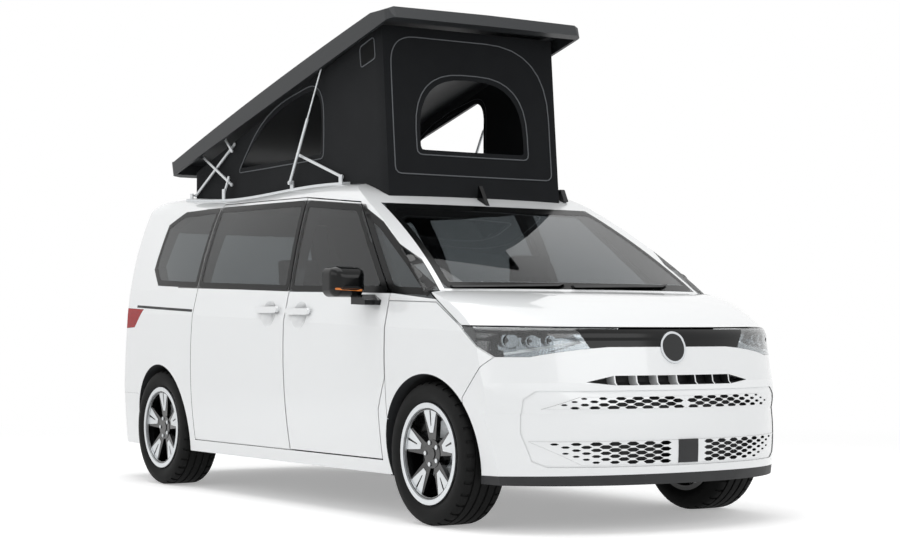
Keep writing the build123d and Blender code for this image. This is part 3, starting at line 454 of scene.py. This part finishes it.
# Chrome plate on the ring is a mirror; the ABS field inside it stays black.
chrome_disc = finish("chromed_abs", {"Roughness": 0.12})
coords = node(chrome_disc, "TexCoord")["Object"]
flat = node(chrome_disc, "VectorMath", {
    "operation": "MULTIPLY_ADD", 1: (0, 1, 1), 2: (0, 0, -ROUNDEL_Z),
}, {0: coords})[0]
radius = node(chrome_disc, "VectorMath", {"operation": "LENGTH"}, {0: flat})["Value"]
rim_mask = node(chrome_disc, "Math", {
    "operation": "GREATER_THAN", 1: ROUNDEL_R - ROUNDEL_RING,
}, {0: radius})[0]
shade = node(chrome_disc, "Mix", {
    "data_type": "RGBA", 6: linear("#101214"), 7: linear("#d7dadd"),
}, {0: rim_mask})[2]
feed(chrome_disc, "Base Color", shade)
feed(chrome_disc, "Metallic", rim_mask)
dress(chrome_disc, "badge_disc")

# Door mirrors
# Gloss-black shells with a mirror glass at the back and a slim lamp strip along the lower front edge.
MIRROR_X = A_GAP - 0.205
MIRROR_Z = 1.212
GLASS_SIZE = (0.006, 0.168, 0.124)
GLASS_AT = (-0.0485, 1.085, 0.003)
GLASS_CORNER = 0.028
STRIP_Y, STRIP_T = 1.095, 0.0016
# Corners of the strip, outwards and up from its middle.
STRIP = ((-0.08, -0.046), (0.075, -0.040), (0.075, -0.030), (-0.08, -0.036))
# Silvered glass is a plain mirror, dyed acrylic a warm orange that glows a little.
silvered = finish("silvered_mirror_glass", {
    "Base Color": linear("#cfd6da"), "Metallic": 1.0, "Roughness": 0.03,
})
bumps(silvered, node(silvered, "TexCoord")["Object"], 200.0, 0.02, 0.0)
amber = finish("moulded_amber_acrylic", {
    "Base Color": linear("#d97a2b"), "Roughness": 0.2, "Coat Weight": 0.5,
    "Emission Color": linear("#e8862e"), "Emission Strength": 0.15,
})
bumps(amber, node(amber, "TexCoord")["Object"], 4.0, 0.1)
for side, mark in ((-1, "r"), (1, "l")):
    only()
    x, y, z = GLASS_AT
    bpy.ops.mesh.primitive_cube_add(size=1.0, location=(MIRROR_X + x, side * y, MIRROR_Z + z))
    glass = bpy.context.object
    glass.name = "mirror_glass_" + mark
    glass.scale = GLASS_SIZE
    bpy.ops.object.transform_apply(location=True, rotation=True, scale=True)
    applied(glass, "BEVEL", width=GLASS_CORNER, segments=5, limit_method="ANGLE", angle_limit=radians(30))
    glass.data.materials.append(silvered)
    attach(glass, "door_" + mark)
    corners = [(side * (STRIP_Y + u), MIRROR_Z + v, 0.005) for u, v in STRIP]
    outline = spread(rounded(corners), 60)
    strip = outline_face("mirror_strip_" + mark, [(MIRROR_X + 0.3, p.x, p.y) for p in outline])
    laid(strip, "mirror_" + mark, "x", STRIP_T)
    strip.data.materials.append(amber)
    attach(strip, "door_" + mark)

# Tyres
# Black rubber, moulded with four straight grooves, cut shoulder blocks and a round sidewall.
WHEEL_Y = 0.82
# Half of the section: distance from the axle, distance from the middle of the tread.
TYRE_SECTION = (
    (0.2389, 0.1035), (0.252, 0.1065), (0.262, 0.113), (0.275, 0.1205), (0.288, 0.1255), (0.302, 0.1272),
    (0.318, 0.1262), (0.332, 0.122), (0.343, 0.115), (0.350, 0.106), (0.3545, 0.094), (0.3552, 0.075),
    (0.347, 0.073), (0.347, 0.066), (0.3556, 0.064), (0.356, 0.030), (0.348, 0.028), (0.348, 0.019),
    (0.356, 0.017),
)
TYRE_STEPS = 132
# Shoulder blocks: where they lie across, their least radius, strips from cut to cut, and a cut's depth.
SHOULDER = (0.0755, 0.112)
SHOULDER_R = 0.345
CUT_EVERY = 4
CUT_DEPTH = 0.006
DUST_MM = 71.4
# Vulcanised rubber is nearly black and dull, with road dust in patches.
rubber = finish("vulcanised_rubber", {"Roughness": 0.72, "IOR": 1.3})
coords = node(rubber, "TexCoord")["Object"]
dust = node(rubber, "TexNoise", {"Scale": 1000 / DUST_MM, "Detail": 5.0}, {"Vector": coords})
shade = node(rubber, "Mix", {
    "data_type": "RGBA", 6: linear("#060606"), 7: linear("#0e0f0f"),
}, {0: dust[0]})[2]
feed(rubber, "Base Color", shade)
bumps(rubber, coords, 1.5, 0.05, 3.0)

profile = list(TYRE_SECTION) + [(r, -y) for r, y in reversed(TYRE_SECTION)]
only()
bpy.ops.mesh.primitive_circle_add(vertices=len(profile), radius=TYRE_R, fill_type="NOTHING")
tyre = bpy.context.object
for point, (r, y) in zip(tyre.data.vertices, profile):
    point.co = (r, y, 0)
bpy.ops.object.mode_set(mode="EDIT")
bpy.ops.mesh.select_all(action="SELECT")
bpy.ops.mesh.spin(steps=TYRE_STEPS, angle=2 * pi, center=(0, 0, 0), axis=(0, 1, 0))
bpy.ops.mesh.select_all(action="SELECT")
bpy.ops.mesh.remove_doubles(threshold=0.0002)
bpy.ops.mesh.normals_make_consistent(inside=False)
bpy.ops.mesh.select_all(action="DESELECT")
bpy.ops.object.mode_set(mode="OBJECT")


def shoulder_cut(face):
    """True on every fourth strip of the shoulder, where a cross cut parts two blocks."""
    middle = face.center
    reach = (middle.x ** 2 + middle.z ** 2) ** 0.5
    if not (SHOULDER[0] < abs(middle.y) < SHOULDER[1] and reach > SHOULDER_R):
        return False
    share = (atan2(middle.z, middle.x) / (2 * pi)) % 1.0
    return int(share * TYRE_STEPS) % CUT_EVERY == 0


bpy.context.tool_settings.mesh_select_mode = (False, False, True)
for face in tyre.data.polygons:
    face.select = shoulder_cut(face)
bpy.ops.object.mode_set(mode="EDIT")
bpy.ops.mesh.extrude_region_shrink_fatten(TRANSFORM_OT_shrink_fatten={"value": -CUT_DEPTH})
bpy.ops.object.mode_set(mode="OBJECT")
bpy.ops.object.shade_smooth_by_angle(angle=radians(35))
tyre.data.materials.append(rubber)

WHEELS = (("fr", FRONT_AXLE, -1), ("fl", FRONT_AXLE, 1), ("rr", REAR_AXLE, -1), ("rl", REAR_AXLE, 1))
for mark, x, side in WHEELS:
    copy = bpy.data.objects.new("tyre_" + mark + "_rubber", tyre.data.copy())
    bpy.context.collection.objects.link(copy)
    copy.data.transform(Matrix.Translation((x, side * WHEEL_Y, TYRE_R)))
    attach(copy, "wheel_" + mark)
    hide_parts("tyre_" + mark)
bpy.data.objects.remove(tyre)

# Wheels
# Cast aluminium, painted gloss black, with the wedge faces and outer ring turned bright and varnished.
# Brake disc behind the spokes: its radius, and the most it stands out from the middle of the wheel.
DISC_R, DISC_OUT = 0.165, 0.03
# The black face: its distance from the middle at the axle, and what it rises by up to the rim.
FACE_AT_AXLE = 0.084
FACE_RISE = 0.018
RIM_R = 0.232
# A bright face stands prouder than the black one by this step at least.
BRIGHT_STEP = 0.0013
# Turning marks, drawn coarser than real.
TURNED_MM = 0.8
# Bright from one distance to another and above a height: bolts, wedges, outer edge.
BRIGHT_ZONES = ((0.044, 0.068, 0.094), (0.100, 0.2165, 0.0), (0.226, 0.26, 0.0))


def cast_wheel(name, axle_x):
    """Cast aluminium: gloss black, and bright with fine rings where the face stands proud and is turned."""
    material = finish(name, {"Coat Weight": 0.5, "Coat Roughness": 0.05})
    coords = node(material, "TexCoord")["Object"]
    split = node(material, "SeparateXYZ", {}, {0: coords})
    along = node(material, "Math", {"operation": "SUBTRACT", 1: axle_x}, {0: split["X"]})[0]
    up = node(material, "Math", {"operation": "SUBTRACT", 1: TYRE_R}, {0: split["Z"]})[0]
    flat = node(material, "CombineXYZ", {}, {0: along, 2: up})[0]
    radius = node(material, "VectorMath", {"operation": "LENGTH"}, {0: flat})["Value"]
    out = node(material, "Math", {"operation": "ABSOLUTE"}, {0: split["Y"]})[0]
    out = node(material, "Math", {"operation": "SUBTRACT", 1: WHEEL_Y}, {0: out})[0]
    face = node(material, "Math", {
        "operation": "MULTIPLY_ADD", 1: FACE_RISE / RIM_R, 2: FACE_AT_AXLE + BRIGHT_STEP,
    }, {0: radius})[0]
    proud = node(material, "Math", {"operation": "GREATER_THAN"}, {0: out, 1: face})[0]
    bright = None
    for near, away, least in BRIGHT_ZONES:
        middle, half = (near + away) / 2, (away - near) / 2
        zone = node(material, "Math", {"operation": "COMPARE", 1: middle, 2: half}, {0: radius})[0]
        high = node(material, "Math", {"operation": "GREATER_THAN", 1: least}, {0: out})[0]
        zone = node(material, "Math", {"operation": "MULTIPLY"}, {0: zone, 1: high})[0]
        if bright:
            zone = node(material, "Math", {"operation": "MAXIMUM"}, {0: bright, 1: zone})[0]
        bright = zone
    bright = node(material, "Math", {"operation": "MULTIPLY"}, {0: proud, 1: bright})[0]
    deep = node(material, "Math", {"operation": "LESS_THAN", 1: DISC_OUT}, {0: out})[0]
    inner = node(material, "Math", {"operation": "LESS_THAN", 1: DISC_R}, {0: radius})[0]
    disc = node(material, "Math", {"operation": "MULTIPLY"}, {0: deep, 1: inner})[0]
    metal = node(material, "Math", {"operation": "MAXIMUM"}, {0: bright, 1: disc})[0]
    shade = node(material, "Mix", {
        "data_type": "RGBA", 6: linear("#0d0e0f"), 7: linear("#d2d5d7"),
    }, {0: metal})[2]
    feed(material, "Base Color", shade)
    feed(material, "Metallic", metal)
    rings = node(material, "Math", {"operation": "SINE"}, {
        0: node(material, "Math", {"operation": "MULTIPLY", 1: 2 * pi * 1000 / TURNED_MM}, {0: radius})[0],
    })[0]
    cut = node(material, "Math", {"operation": "MULTIPLY"}, {0: rings, 1: metal})[0]
    bump = node(material, "Bump", {"Strength": 0.15, "Distance": 0.0001}, {"Height": cut})
    feed(material, "Normal", bump[0])
    feed(material, "Roughness", node(material, "MapRange", {3: 0.15, 4: 0.42}, {0: metal})[0])
    return material


dress(cast_wheel("turned_aluminium_front", FRONT_AXLE), "rim_fr", "rim_fl")
dress(cast_wheel("turned_aluminium_rear", REAR_AXLE), "rim_rr", "rim_rl")

# Brake calipers
# One cast iron caliper bridges each disc, inside the spokes and to the rear of the axle.
CALIPER_SIZE = (0.07, 0.066, 0.16)
# Its place from the middle of the wheel: along, outwards, up.
CALIPER_AT = (-0.135, 0.008, 0.02)
# Sand-cast iron under thin paint: grey, half dull and finely pitted.
iron = finish("painted_cast_iron", {"Base Color": linear("#3a3c3e"), "Roughness": 0.5, "Metallic": 0.5})
bumps(iron, node(iron, "TexCoord")["Object"], 2.0, 0.1, 3.0)
for mark, x, side in WHEELS:
    only()
    along, out, up = CALIPER_AT
    bpy.ops.mesh.primitive_cube_add(size=1.0, location=(x + along, side * (WHEEL_Y + out), TYRE_R + up))
    caliper = bpy.context.object
    caliper.name = "caliper_" + mark
    caliper.scale = CALIPER_SIZE
    bpy.ops.object.transform_apply(location=True, rotation=True, scale=True)
    applied(caliper, "BEVEL", width=0.014, segments=3)
    bpy.ops.object.shade_smooth_by_angle(angle=radians(40))
    caliper.data.materials.append(iron)
    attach(caliper, {"fr": "knuckle_r", "fl": "knuckle_l"}.get(mark, "van"))

# Pop-top shell
# Moulded composite lid in dark grey satin paint, with a skirt that closes over the tent.
# Satin paint spreads each reflection to a broad soft gleam.
shell_paint = finish("grey_satin_on_composite", {
    "Base Color": linear("#2b2d2f"), "Roughness": 0.42, "IOR": 1.4,
})
coords = node(shell_paint, "TexCoord")["Object"]
bumps(shell_paint, coords, 5.0, 0.01)
dress(shell_paint, "pop_top")

# Roof rails, links and struts
# Anodised aluminium bars and steel pins: the rails are screwed to the roof, the links fold beside the tent.
BRUSH_MM = 16.67
# Drawn and anodised metal is pale and half bright, with fine level streaks.
anodised = finish("anodised_aluminium", {"Base Color": linear("#dcdfe1"), "Metallic": 0.5})
coords = node(anodised, "TexCoord")["Object"]
drawn = node(anodised, "Mapping", {"Scale": (1.0, 1.0, 40.0)}, {"Vector": coords})[0]
brushed = node(anodised, "TexNoise", {"Scale": 1000 / BRUSH_MM, "Detail": 4.0}, {"Vector": drawn})
feed(anodised, "Roughness", node(anodised, "MapRange", {3: 0.26, 4: 0.44}, {0: brushed[0]})[0])
dress(
    anodised, "roof_rails", "arms_a", "arms_b", "upper_rockers", "lower_rockers", "braces", "strut_tubes",
    "strut_rods",
)

# Tent
# Charcoal cotton-polyester cloth, sewn as one band of four walls, clipped to the roof and to the lid.
# It is drawn in a little between its seams, has arched openings in front and sides, and two netted vents.
TENT_HALF = 0.586
TENT_BACK, TENT_FRONT = -1.78, 0.6
TENT_LOW = ((TENT_BACK, 1.790), (0.640, 1.702))
TENT_TOP = ((TENT_BACK, 1.985), (0.560, 2.655))
DRAW_IN = 0.022
RIPPLE = 0.002
CLOTH_T = 0.0016
SEWN_OUT = 0.002
THREAD_MM = 3.0
CLOUD_MM = 200


def woven(name, dark, light):
    """Canvas: two sets of threads that cross, drawn coarser than real so that they show."""
    material = finish(name, {"Roughness": 0.9, "IOR": 1.2, "Sheen Weight": 0.06, "Sheen Roughness": 0.5})
    coords = node(material, "TexCoord")["Object"]
    threads = []
    for way in ("Z", "DIAGONAL"):
        settings = {"Scale": wave_scale(THREAD_MM), "bands_direction": way}
        threads.append(node(material, "TexWave", settings, {"Vector": coords})["Fac"])
    weave = node(material, "Math", {"operation": "MULTIPLY"}, {0: threads[0], 1: threads[1]})[0]
    cloud = node(material, "TexNoise", {"Scale": 1000 / CLOUD_MM, "Detail": 4.0}, {"Vector": coords})[0]
    mix = node(material, "Math", {"operation": "MULTIPLY", 1: 0.4}, {0: weave})[0]
    mix = node(material, "Math", {"operation": "MULTIPLY_ADD", 1: 0.6}, {0: cloud, 2: mix})[0]
    feed(material, "Base Color", node(material, "Mix", {
        "data_type": "RGBA", 6: linear(dark), 7: linear(light),
    }, {0: mix})[2])
    bump = node(material, "Bump", {"Strength": 0.4, "Distance": 0.0006}, {"Height": weave})
    feed(material, "Normal", bump[0])
    return material


canvas = woven("charcoal_canvas", "#141517", "#212325")
netting = woven("black_netting", "#070808", "#121314")
# The piping is a woven cord cover, paler than the cloth and just as dull.
piping = finish("grey_woven_piping", {"Base Color": linear("#5c5f62"), "Roughness": 0.8})
bumps(piping, node(piping, "TexCoord")["Object"], 2.0, 0.3)

# The plan's corners: share of the length, side, and the reach over which each is eased.
PLAN = ((0.0, -1.0, 0.02), (1.0, -1.0, 0.02), (1.0, 1.0, 0.02), (0.0, 1.0, 0.02))
AROUND, UP = 240, 26
# Openings, sewn-on panel and vents: across or along, up, and the reach over which each corner is eased.
FRONT_WINDOW = ((-0.35, 1.97, 0.02), (0.35, 1.97, 0.02), (0.35, 2.38, 0.31), (-0.35, 2.38, 0.31))
FRONT_PANEL = ((-0.53, 1.83, 0.04), (0.53, 1.83, 0.04), (0.53, 2.60, 0.42), (-0.53, 2.60, 0.16))
SIDE_WINDOW = ((-0.13, 1.99, 0.02), (-0.13, 2.395, 0.17), (-0.86, 2.255, 0.40), (-1.16, 1.979, 0.02))
SIDE_VENT = ((0.352, 2.450, 0.015), (0.488, 2.486, 0.015), (0.478, 2.584, 0.02), (0.346, 2.542, 0.02))
PIPING_R = 0.0036
PIPING_AWAY, VENT_AWAY = 0.028, 0.012
# The blocks that cut the openings: where they start and how far they reach.
FRONT_CUT, SIDE_CUT = (0.3, 0.6), (-0.8, 1.6)


def on_line(line, x):
    """Height of a straight line at this length."""
    (x0, z0), (x1, z1) = line
    return z0 + (z1 - z0) * (x - x0) / (x1 - x0)


def cloth_point(share, side, height):
    """A point of the cloth: share of the length, side and height, drawn in between its seams."""
    low, top = (Vector(a).lerp(Vector(b), share) for a, b in (TENT_LOW, TENT_TOP))
    x, z = low.lerp(top, height)
    inward = (DRAW_IN + RIPPLE * sin(31 * share + 5 * height)) * sin(pi * height)
    y = side * (TENT_HALF - inward * sin(pi * share) ** 0.5 * (abs(side) > 0.96))
    x -= inward * cos(pi * side / 2) * (share > 0.9)
    return (x, y, z)


def on_side(x, z, side):
    """Where the side cloth lies at this length and height."""
    low, top = on_line(TENT_LOW, x), on_line(TENT_TOP, x)
    share = (x - TENT_BACK) / (TENT_FRONT - TENT_BACK)
    return (x, side * (abs(cloth_point(share, 1.0, (z - low) / (top - low))[1]) + SEWN_OUT), z)


def on_front(y, z):
    """Where the front cloth lies at this width and height."""
    height = (z - TENT_LOW[1][1]) / (TENT_TOP[1][1] - TENT_LOW[1][1])
    x = cloth_point(1.0, y / TENT_HALF, height)[0]
    return (x + SEWN_OUT, y, z)


only()
bpy.ops.mesh.primitive_grid_add(x_subdivisions=AROUND, y_subdivisions=UP, size=1.0)
tent = bpy.context.object
tent.name = "tent_walls"
ring = spread(rounded(PLAN), AROUND)
for point in tent.data.vertices:
    place = ring[round((point.co.x + 0.5) * AROUND) % AROUND]
    point.co = cloth_point(place.x, place.y, point.co.y + 0.5)
bpy.ops.object.mode_set(mode="EDIT")
bpy.ops.mesh.select_all(action="SELECT")
bpy.ops.mesh.remove_doubles(threshold=0.0005)
bpy.ops.mesh.normals_make_consistent(inside=False)
bpy.ops.object.mode_set(mode="OBJECT")
applied(tent, "SOLIDIFY", thickness=CLOTH_T, offset=0.0)


def cut_through(cloth, name, outline, way):
    """An opening in the cloth: its outline drawn out to a block and taken away."""
    cutter = outline_face(name, outline)
    bpy.ops.object.mode_set(mode="EDIT")
    bpy.ops.mesh.select_all(action="SELECT")
    bpy.ops.mesh.extrude_region_move(TRANSFORM_OT_translate={"value": way})
    bpy.ops.mesh.select_all(action="SELECT")
    bpy.ops.mesh.normals_make_consistent(inside=False)
    bpy.ops.object.mode_set(mode="OBJECT")
    applied(cloth, "BOOLEAN", object=cutter, operation="DIFFERENCE", solver="EXACT")
    bpy.data.objects.remove(cutter)


start, reach = FRONT_CUT
outline = [(start, p.x, p.y) for p in spread(rounded(FRONT_WINDOW), 96)]
cut_through(tent, "front_cut", outline, (reach, 0, 0))
start, reach = SIDE_CUT
outline = [(p.x, start, p.y) for p in spread(rounded(SIDE_WINDOW), 96)]
cut_through(tent, "side_cut", outline, (0, reach, 0))
only(tent)
bpy.ops.object.shade_smooth_by_angle(angle=radians(50))
tent.data.materials.append(canvas)


def cord_round(name, points):
    """Round piping sewn along a closed line."""
    outline_face(name, points, "NOTHING")
    bpy.ops.object.convert(target="CURVE")
    line = bpy.context.object
    line.data.bevel_depth = PIPING_R
    line.data.bevel_resolution = 2
    bpy.ops.object.convert(target="MESH")
    line = bpy.context.object
    bpy.ops.object.shade_smooth()
    line.data.materials.append(piping)
    return line


def wider(outline, grow):
    """The same outline, moved outwards."""
    middle = sum((Vector(c[:2]) for c in outline), Vector((0, 0))) / len(outline)
    moved = []
    for u, v, reach in outline:
        right = 1 if u > middle.x else -1
        above = 1 if v > middle.y else -1
        moved.append((u + grow * right, v + grow * above, reach + grow / 2))
    return moved


cords, vents = [], []
for name, outline, count in (
    ("piping_front", FRONT_PANEL, 160),
    ("piping_window", wider(FRONT_WINDOW, PIPING_AWAY), 120),
):
    cords.append(cord_round(name, [on_front(p.x, p.y) for p in spread(rounded(outline), count)]))
for side, mark in ((-1, "r"), (1, "l")):
    for name, outline, count in (
        ("piping_side_", wider(SIDE_WINDOW, PIPING_AWAY), 140),
        ("piping_vent_", wider(SIDE_VENT, VENT_AWAY), 60),
    ):
        loop = spread(rounded(outline), count)
        cords.append(cord_round(name + mark, [on_side(p.x, p.y, side) for p in loop]))
    loop = spread(rounded(SIDE_VENT), 60)
    vent = outline_face("tent_vent_" + mark, [on_side(p.x, p.y, side) for p in loop])
    applied(vent, "SOLIDIFY", thickness=CLOTH_T, offset=0.0)
    vent.data.materials.append(netting)
    vents.append(vent)
only(*cords)
bpy.ops.object.join()
sewn = bpy.context.object
sewn.name = "tent_piping"
sewn.data.materials.clear()
sewn.data.materials.append(piping)
for piece in (tent, sewn, *vents):
    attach(piece, "van")
    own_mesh(piece)
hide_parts("tent")

# Roof latch
# A moulded black catch at the tent's left front corner, screwed to the roof; the lid snaps over it.
LATCH_AT = Vector((0.605, 0.630, 1.748))
LATCH_SIZE = Vector((0.07, 0.034, 0.075))
LATCH_TOP, LATCH_LEAN = 0.55, 0.022
only()
bpy.ops.mesh.primitive_cube_add(size=1.0)
latch = bpy.context.object
latch.name = "roof_latch"
for point in latch.data.vertices:
    corner = point.co * LATCH_SIZE
    if corner.z > 0:
        corner.x = corner.x * LATCH_TOP - LATCH_LEAN
    point.co = LATCH_AT + corner
applied(latch, "BEVEL", width=0.006, segments=3)
bpy.ops.object.shade_smooth_by_angle(angle=radians(40))
latch.data.materials.append(grained)
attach(latch, "van")

# Seats
# Four foam seats in dark woven cover on boxed plinths, with sewn channels down both sides of each pad.
# One is filled by a cloth simulation and copied.
SEAT_Y = 0.42
PAD_W, REST_W = 0.45, 0.26
PITCH = 1.230
# The stuffing may swell the pads by this much, on a mesh with steps of this size.
PAD_CAP = 0.012
VOXEL = 0.011
# Sewn channels: place across, half width, depth, and the height where they end.
SEWN_AT, SEWN_HALF, SEWN_DEPTH, SEWN_TOP = 0.145, 0.016, 0.009, 1.2
PLINTH_AT, PLINTH_SIZE = (0.93, 0, 0.4815), (0.40, 0.40, 0.271)
# Headrest stems: along, up, distance from the middle, radius, length.
STEM_X, STEM_Z, STEM_Y, STEM_R, STEM_L = 0.565, 1.205, 0.07, 0.006, 0.09
SETTLE_FRAMES = 20
# Pads: low corner and high corner (along, up), then how far the top leans back.
PADS = (
    ((0.705, 0.628), (1.169, 0.770), 0.0),
    ((0.640, 0.745), (0.770, 1.185), 0.115),
    ((0.530, 1.232), (0.604, 1.392), 0.012),
)
cover = woven("woven_seat_cover", "#26282b", "#3b3d40")
# Powder coat on steel: dark grey with a slight orange-peel skin.
plinth = finish("powder_coated_steel", {"Base Color": linear("#202224"), "Roughness": 0.6})
bumps(plinth, node(plinth, "TexCoord")["Object"], 2.0, 0.2)

blocks = []
for k, ((x0, z0), (x1, z1), lean) in enumerate(PADS):
    only()
    width = PAD_W if k < 2 else REST_W
    bpy.ops.mesh.primitive_cube_add(size=1.0)
    block = bpy.context.object
    for point in block.data.vertices:
        x = (x1 if point.co.x > 0 else x0) - (lean if point.co.z > 0 else 0.0)
        point.co = (x, point.co.y * width, z1 if point.co.z > 0 else z0)
    applied(block, "BEVEL", width=0.03 if k < 2 else 0.022, segments=4)
    blocks.append(block)
only(*blocks)
bpy.ops.object.join()
pad = bpy.context.object
applied(pad, "REMESH", mode="VOXEL", voxel_size=VOXEL)
begun = [point.co.copy() for point in pad.data.vertices]
stuffing = pad.modifiers.new("stuffing", "CLOTH")
stuffing.settings.use_pressure = True
stuffing.settings.uniform_pressure_force = 4.0
stuffing.settings.effector_weights.gravity = 0.0
for step in range(1, SETTLE_FRAMES + 1):
    bpy.context.scene.frame_set(step)
only(pad)
bpy.ops.object.modifier_apply(modifier="stuffing")
bpy.context.scene.frame_set(1)
for point, start in zip(pad.data.vertices, begun):
    moved = point.co - start
    if moved.length > PAD_CAP:
        point.co = start + moved * (PAD_CAP / moved.length)
pad.data.update()
normals = [point.normal.copy() for point in pad.data.vertices]
for point, normal in zip(pad.data.vertices, normals):
    off = abs(abs(point.co.y) - SEWN_AT)
    if off < SEWN_HALF and point.co.z < SEWN_TOP and abs(normal.y) < 0.5:
        point.co -= normal * SEWN_DEPTH * (1 - off / SEWN_HALF)
only(pad)
bpy.ops.object.shade_smooth()
pad.data.materials.append(cover)
only()
bpy.ops.mesh.primitive_cube_add(size=1.0, location=PLINTH_AT)
base = bpy.context.object
base.scale = PLINTH_SIZE
bpy.ops.object.transform_apply(location=True, rotation=True, scale=True)
applied(base, "BEVEL", width=0.02, segments=3)
bpy.ops.object.shade_smooth_by_angle(angle=radians(40))
base.data.materials.append(plinth)
stems = []
for y in (-STEM_Y, STEM_Y):
    only()
    bpy.ops.mesh.primitive_cylinder_add(
        vertices=16, radius=STEM_R, depth=STEM_L, location=(STEM_X, y, STEM_Z),
    )
    stem = bpy.context.object
    bpy.ops.object.transform_apply(location=True, rotation=True, scale=True)
    applied(stem, "BEVEL", width=0.001, segments=2)
    stem.data.materials.append(anodised)
    stems.append(stem)
only(*stems, base)
bpy.ops.object.join()
base = bpy.context.object

for row, back in (("front", 0.0), ("rear", -PITCH)):
    for mark, side in (("r", -1), ("l", 1)):
        for part, source in (("pads", pad), ("base", base)):
            copy = bpy.data.objects.new("seat_%s_%s_%s" % (part, row, mark), source.data.copy())
            bpy.context.collection.objects.link(copy)
            copy.data.transform(Matrix.Translation((back, side * SEAT_Y, 0)))
            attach(copy, "van")
            if part == "pads":
                if row == "front" and mark == "r":
                    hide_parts("seats")
bpy.data.objects.remove(pad)
bpy.data.objects.remove(base)

# Floor, light and camera
# A pale studio floor that runs into a white backdrop, soft boxes above, and the photograph's viewpoint.
FLOOR_HALF = 60.0
# How the ground looks: a lift near the van, plain white further out. The sky lights less than it shows.
FLOOR_GLOW = 0.34
WHITE_FROM, WHITE_FULL = 4.0, 9.0
SKY_LIGHT = 0.55


def looked_at(material):
    """1 where the eye sees the white ground, straight or by way of metal and glass."""
    paths = node(material, "LightPath")
    seen = paths["Is Camera Ray"]
    for ray in ("Is Glossy Ray", "Is Transmission Ray"):
        seen = node(material, "Math", {"operation": "MAXIMUM"}, {0: seen, 1: paths[ray]})[0]
    return seen


only()
bpy.ops.mesh.primitive_plane_add(size=2 * FLOOR_HALF, location=(0, 0, 0))
floor = bpy.context.object
floor.name = "studio_floor"
matt_floor = finish("matt_studio_floor", {
    "Base Color": linear("#f4f4f4"), "Roughness": 0.9, "Emission Color": (1, 1, 1, 1),
})
tree = matt_floor.node_tree
coords = node(matt_floor, "TexCoord")["Object"]
reach = node(matt_floor, "VectorMath", {"operation": "LENGTH"}, {0: coords})["Value"]
far = node(matt_floor, "MapRange", {
    "interpolation_type": "SMOOTHSTEP", 1: WHITE_FROM, 2: WHITE_FULL,
}, {0: reach})[0]
seen = looked_at(matt_floor)
lifted = node(matt_floor, "Math", {"operation": "MULTIPLY", 1: FLOOR_GLOW}, {0: seen})[0]
feed(matt_floor, "Emission Strength", lifted)
share = node(matt_floor, "Math", {"operation": "MULTIPLY"}, {0: far, 1: seen})[0]
white = node(matt_floor, "Emission", {"Color": (1, 1, 1, 1), "Strength": 1.0})[0]
shader = tree.nodes["Principled BSDF"].outputs[0]
blend = node(matt_floor, "MixShader", {}, {0: share, 1: shader, 2: white})[0]
tree.links.new(blend, tree.nodes["Material Output"].inputs["Surface"])
floor.data.materials.append(matt_floor)

world = bpy.data.worlds.new("white_studio")
bpy.context.scene.world = world
world.use_nodes = True
sky = world.node_tree.nodes["Background"]
sky.inputs["Color"].default_value = (1, 1, 1, 1)
strength = node(world, "MapRange", {3: SKY_LIGHT, 4: 1.0}, {0: looked_at(world)})[0]
world.node_tree.links.new(strength, sky.inputs["Strength"])

# Soft boxes: place, turn, size, watts.
SOFT_BOXES = (
    ("top_box", (0.0, -1.0, 6.5), (0, 0, 0), (8, 5), 230),
    ("side_box", (2.0, -8.0, 4.0), (radians(62), 0, 0), (9, 4), 105),
    ("front_box", (8.5, 1.0, 4.0), (0, radians(58), 0), (4, 6), 115),
)
for name, place, turn, size, watts in SOFT_BOXES:
    lamp = bpy.data.lights.new(name, "AREA")
    lamp.shape = "RECTANGLE"
    lamp.size, lamp.size_y = size
    lamp.energy = watts
    box_light = bpy.data.objects.new(name, lamp)
    box_light.location = place
    box_light.rotation_euler = turn
    bpy.context.collection.objects.link(box_light)

lens = bpy.data.cameras.new("viewpoint")
lens.sensor_width = 36
lens.lens = 77.07
camera = bpy.data.objects.new("viewpoint", lens)
camera.location = (9.6359, -6.0536, 0.9641)
camera.rotation_euler = (radians(91.799), 0, radians(56.8603))
bpy.context.collection.objects.link(camera)
scene = bpy.context.scene
scene.camera = camera
scene.view_settings.view_transform = "Standard"
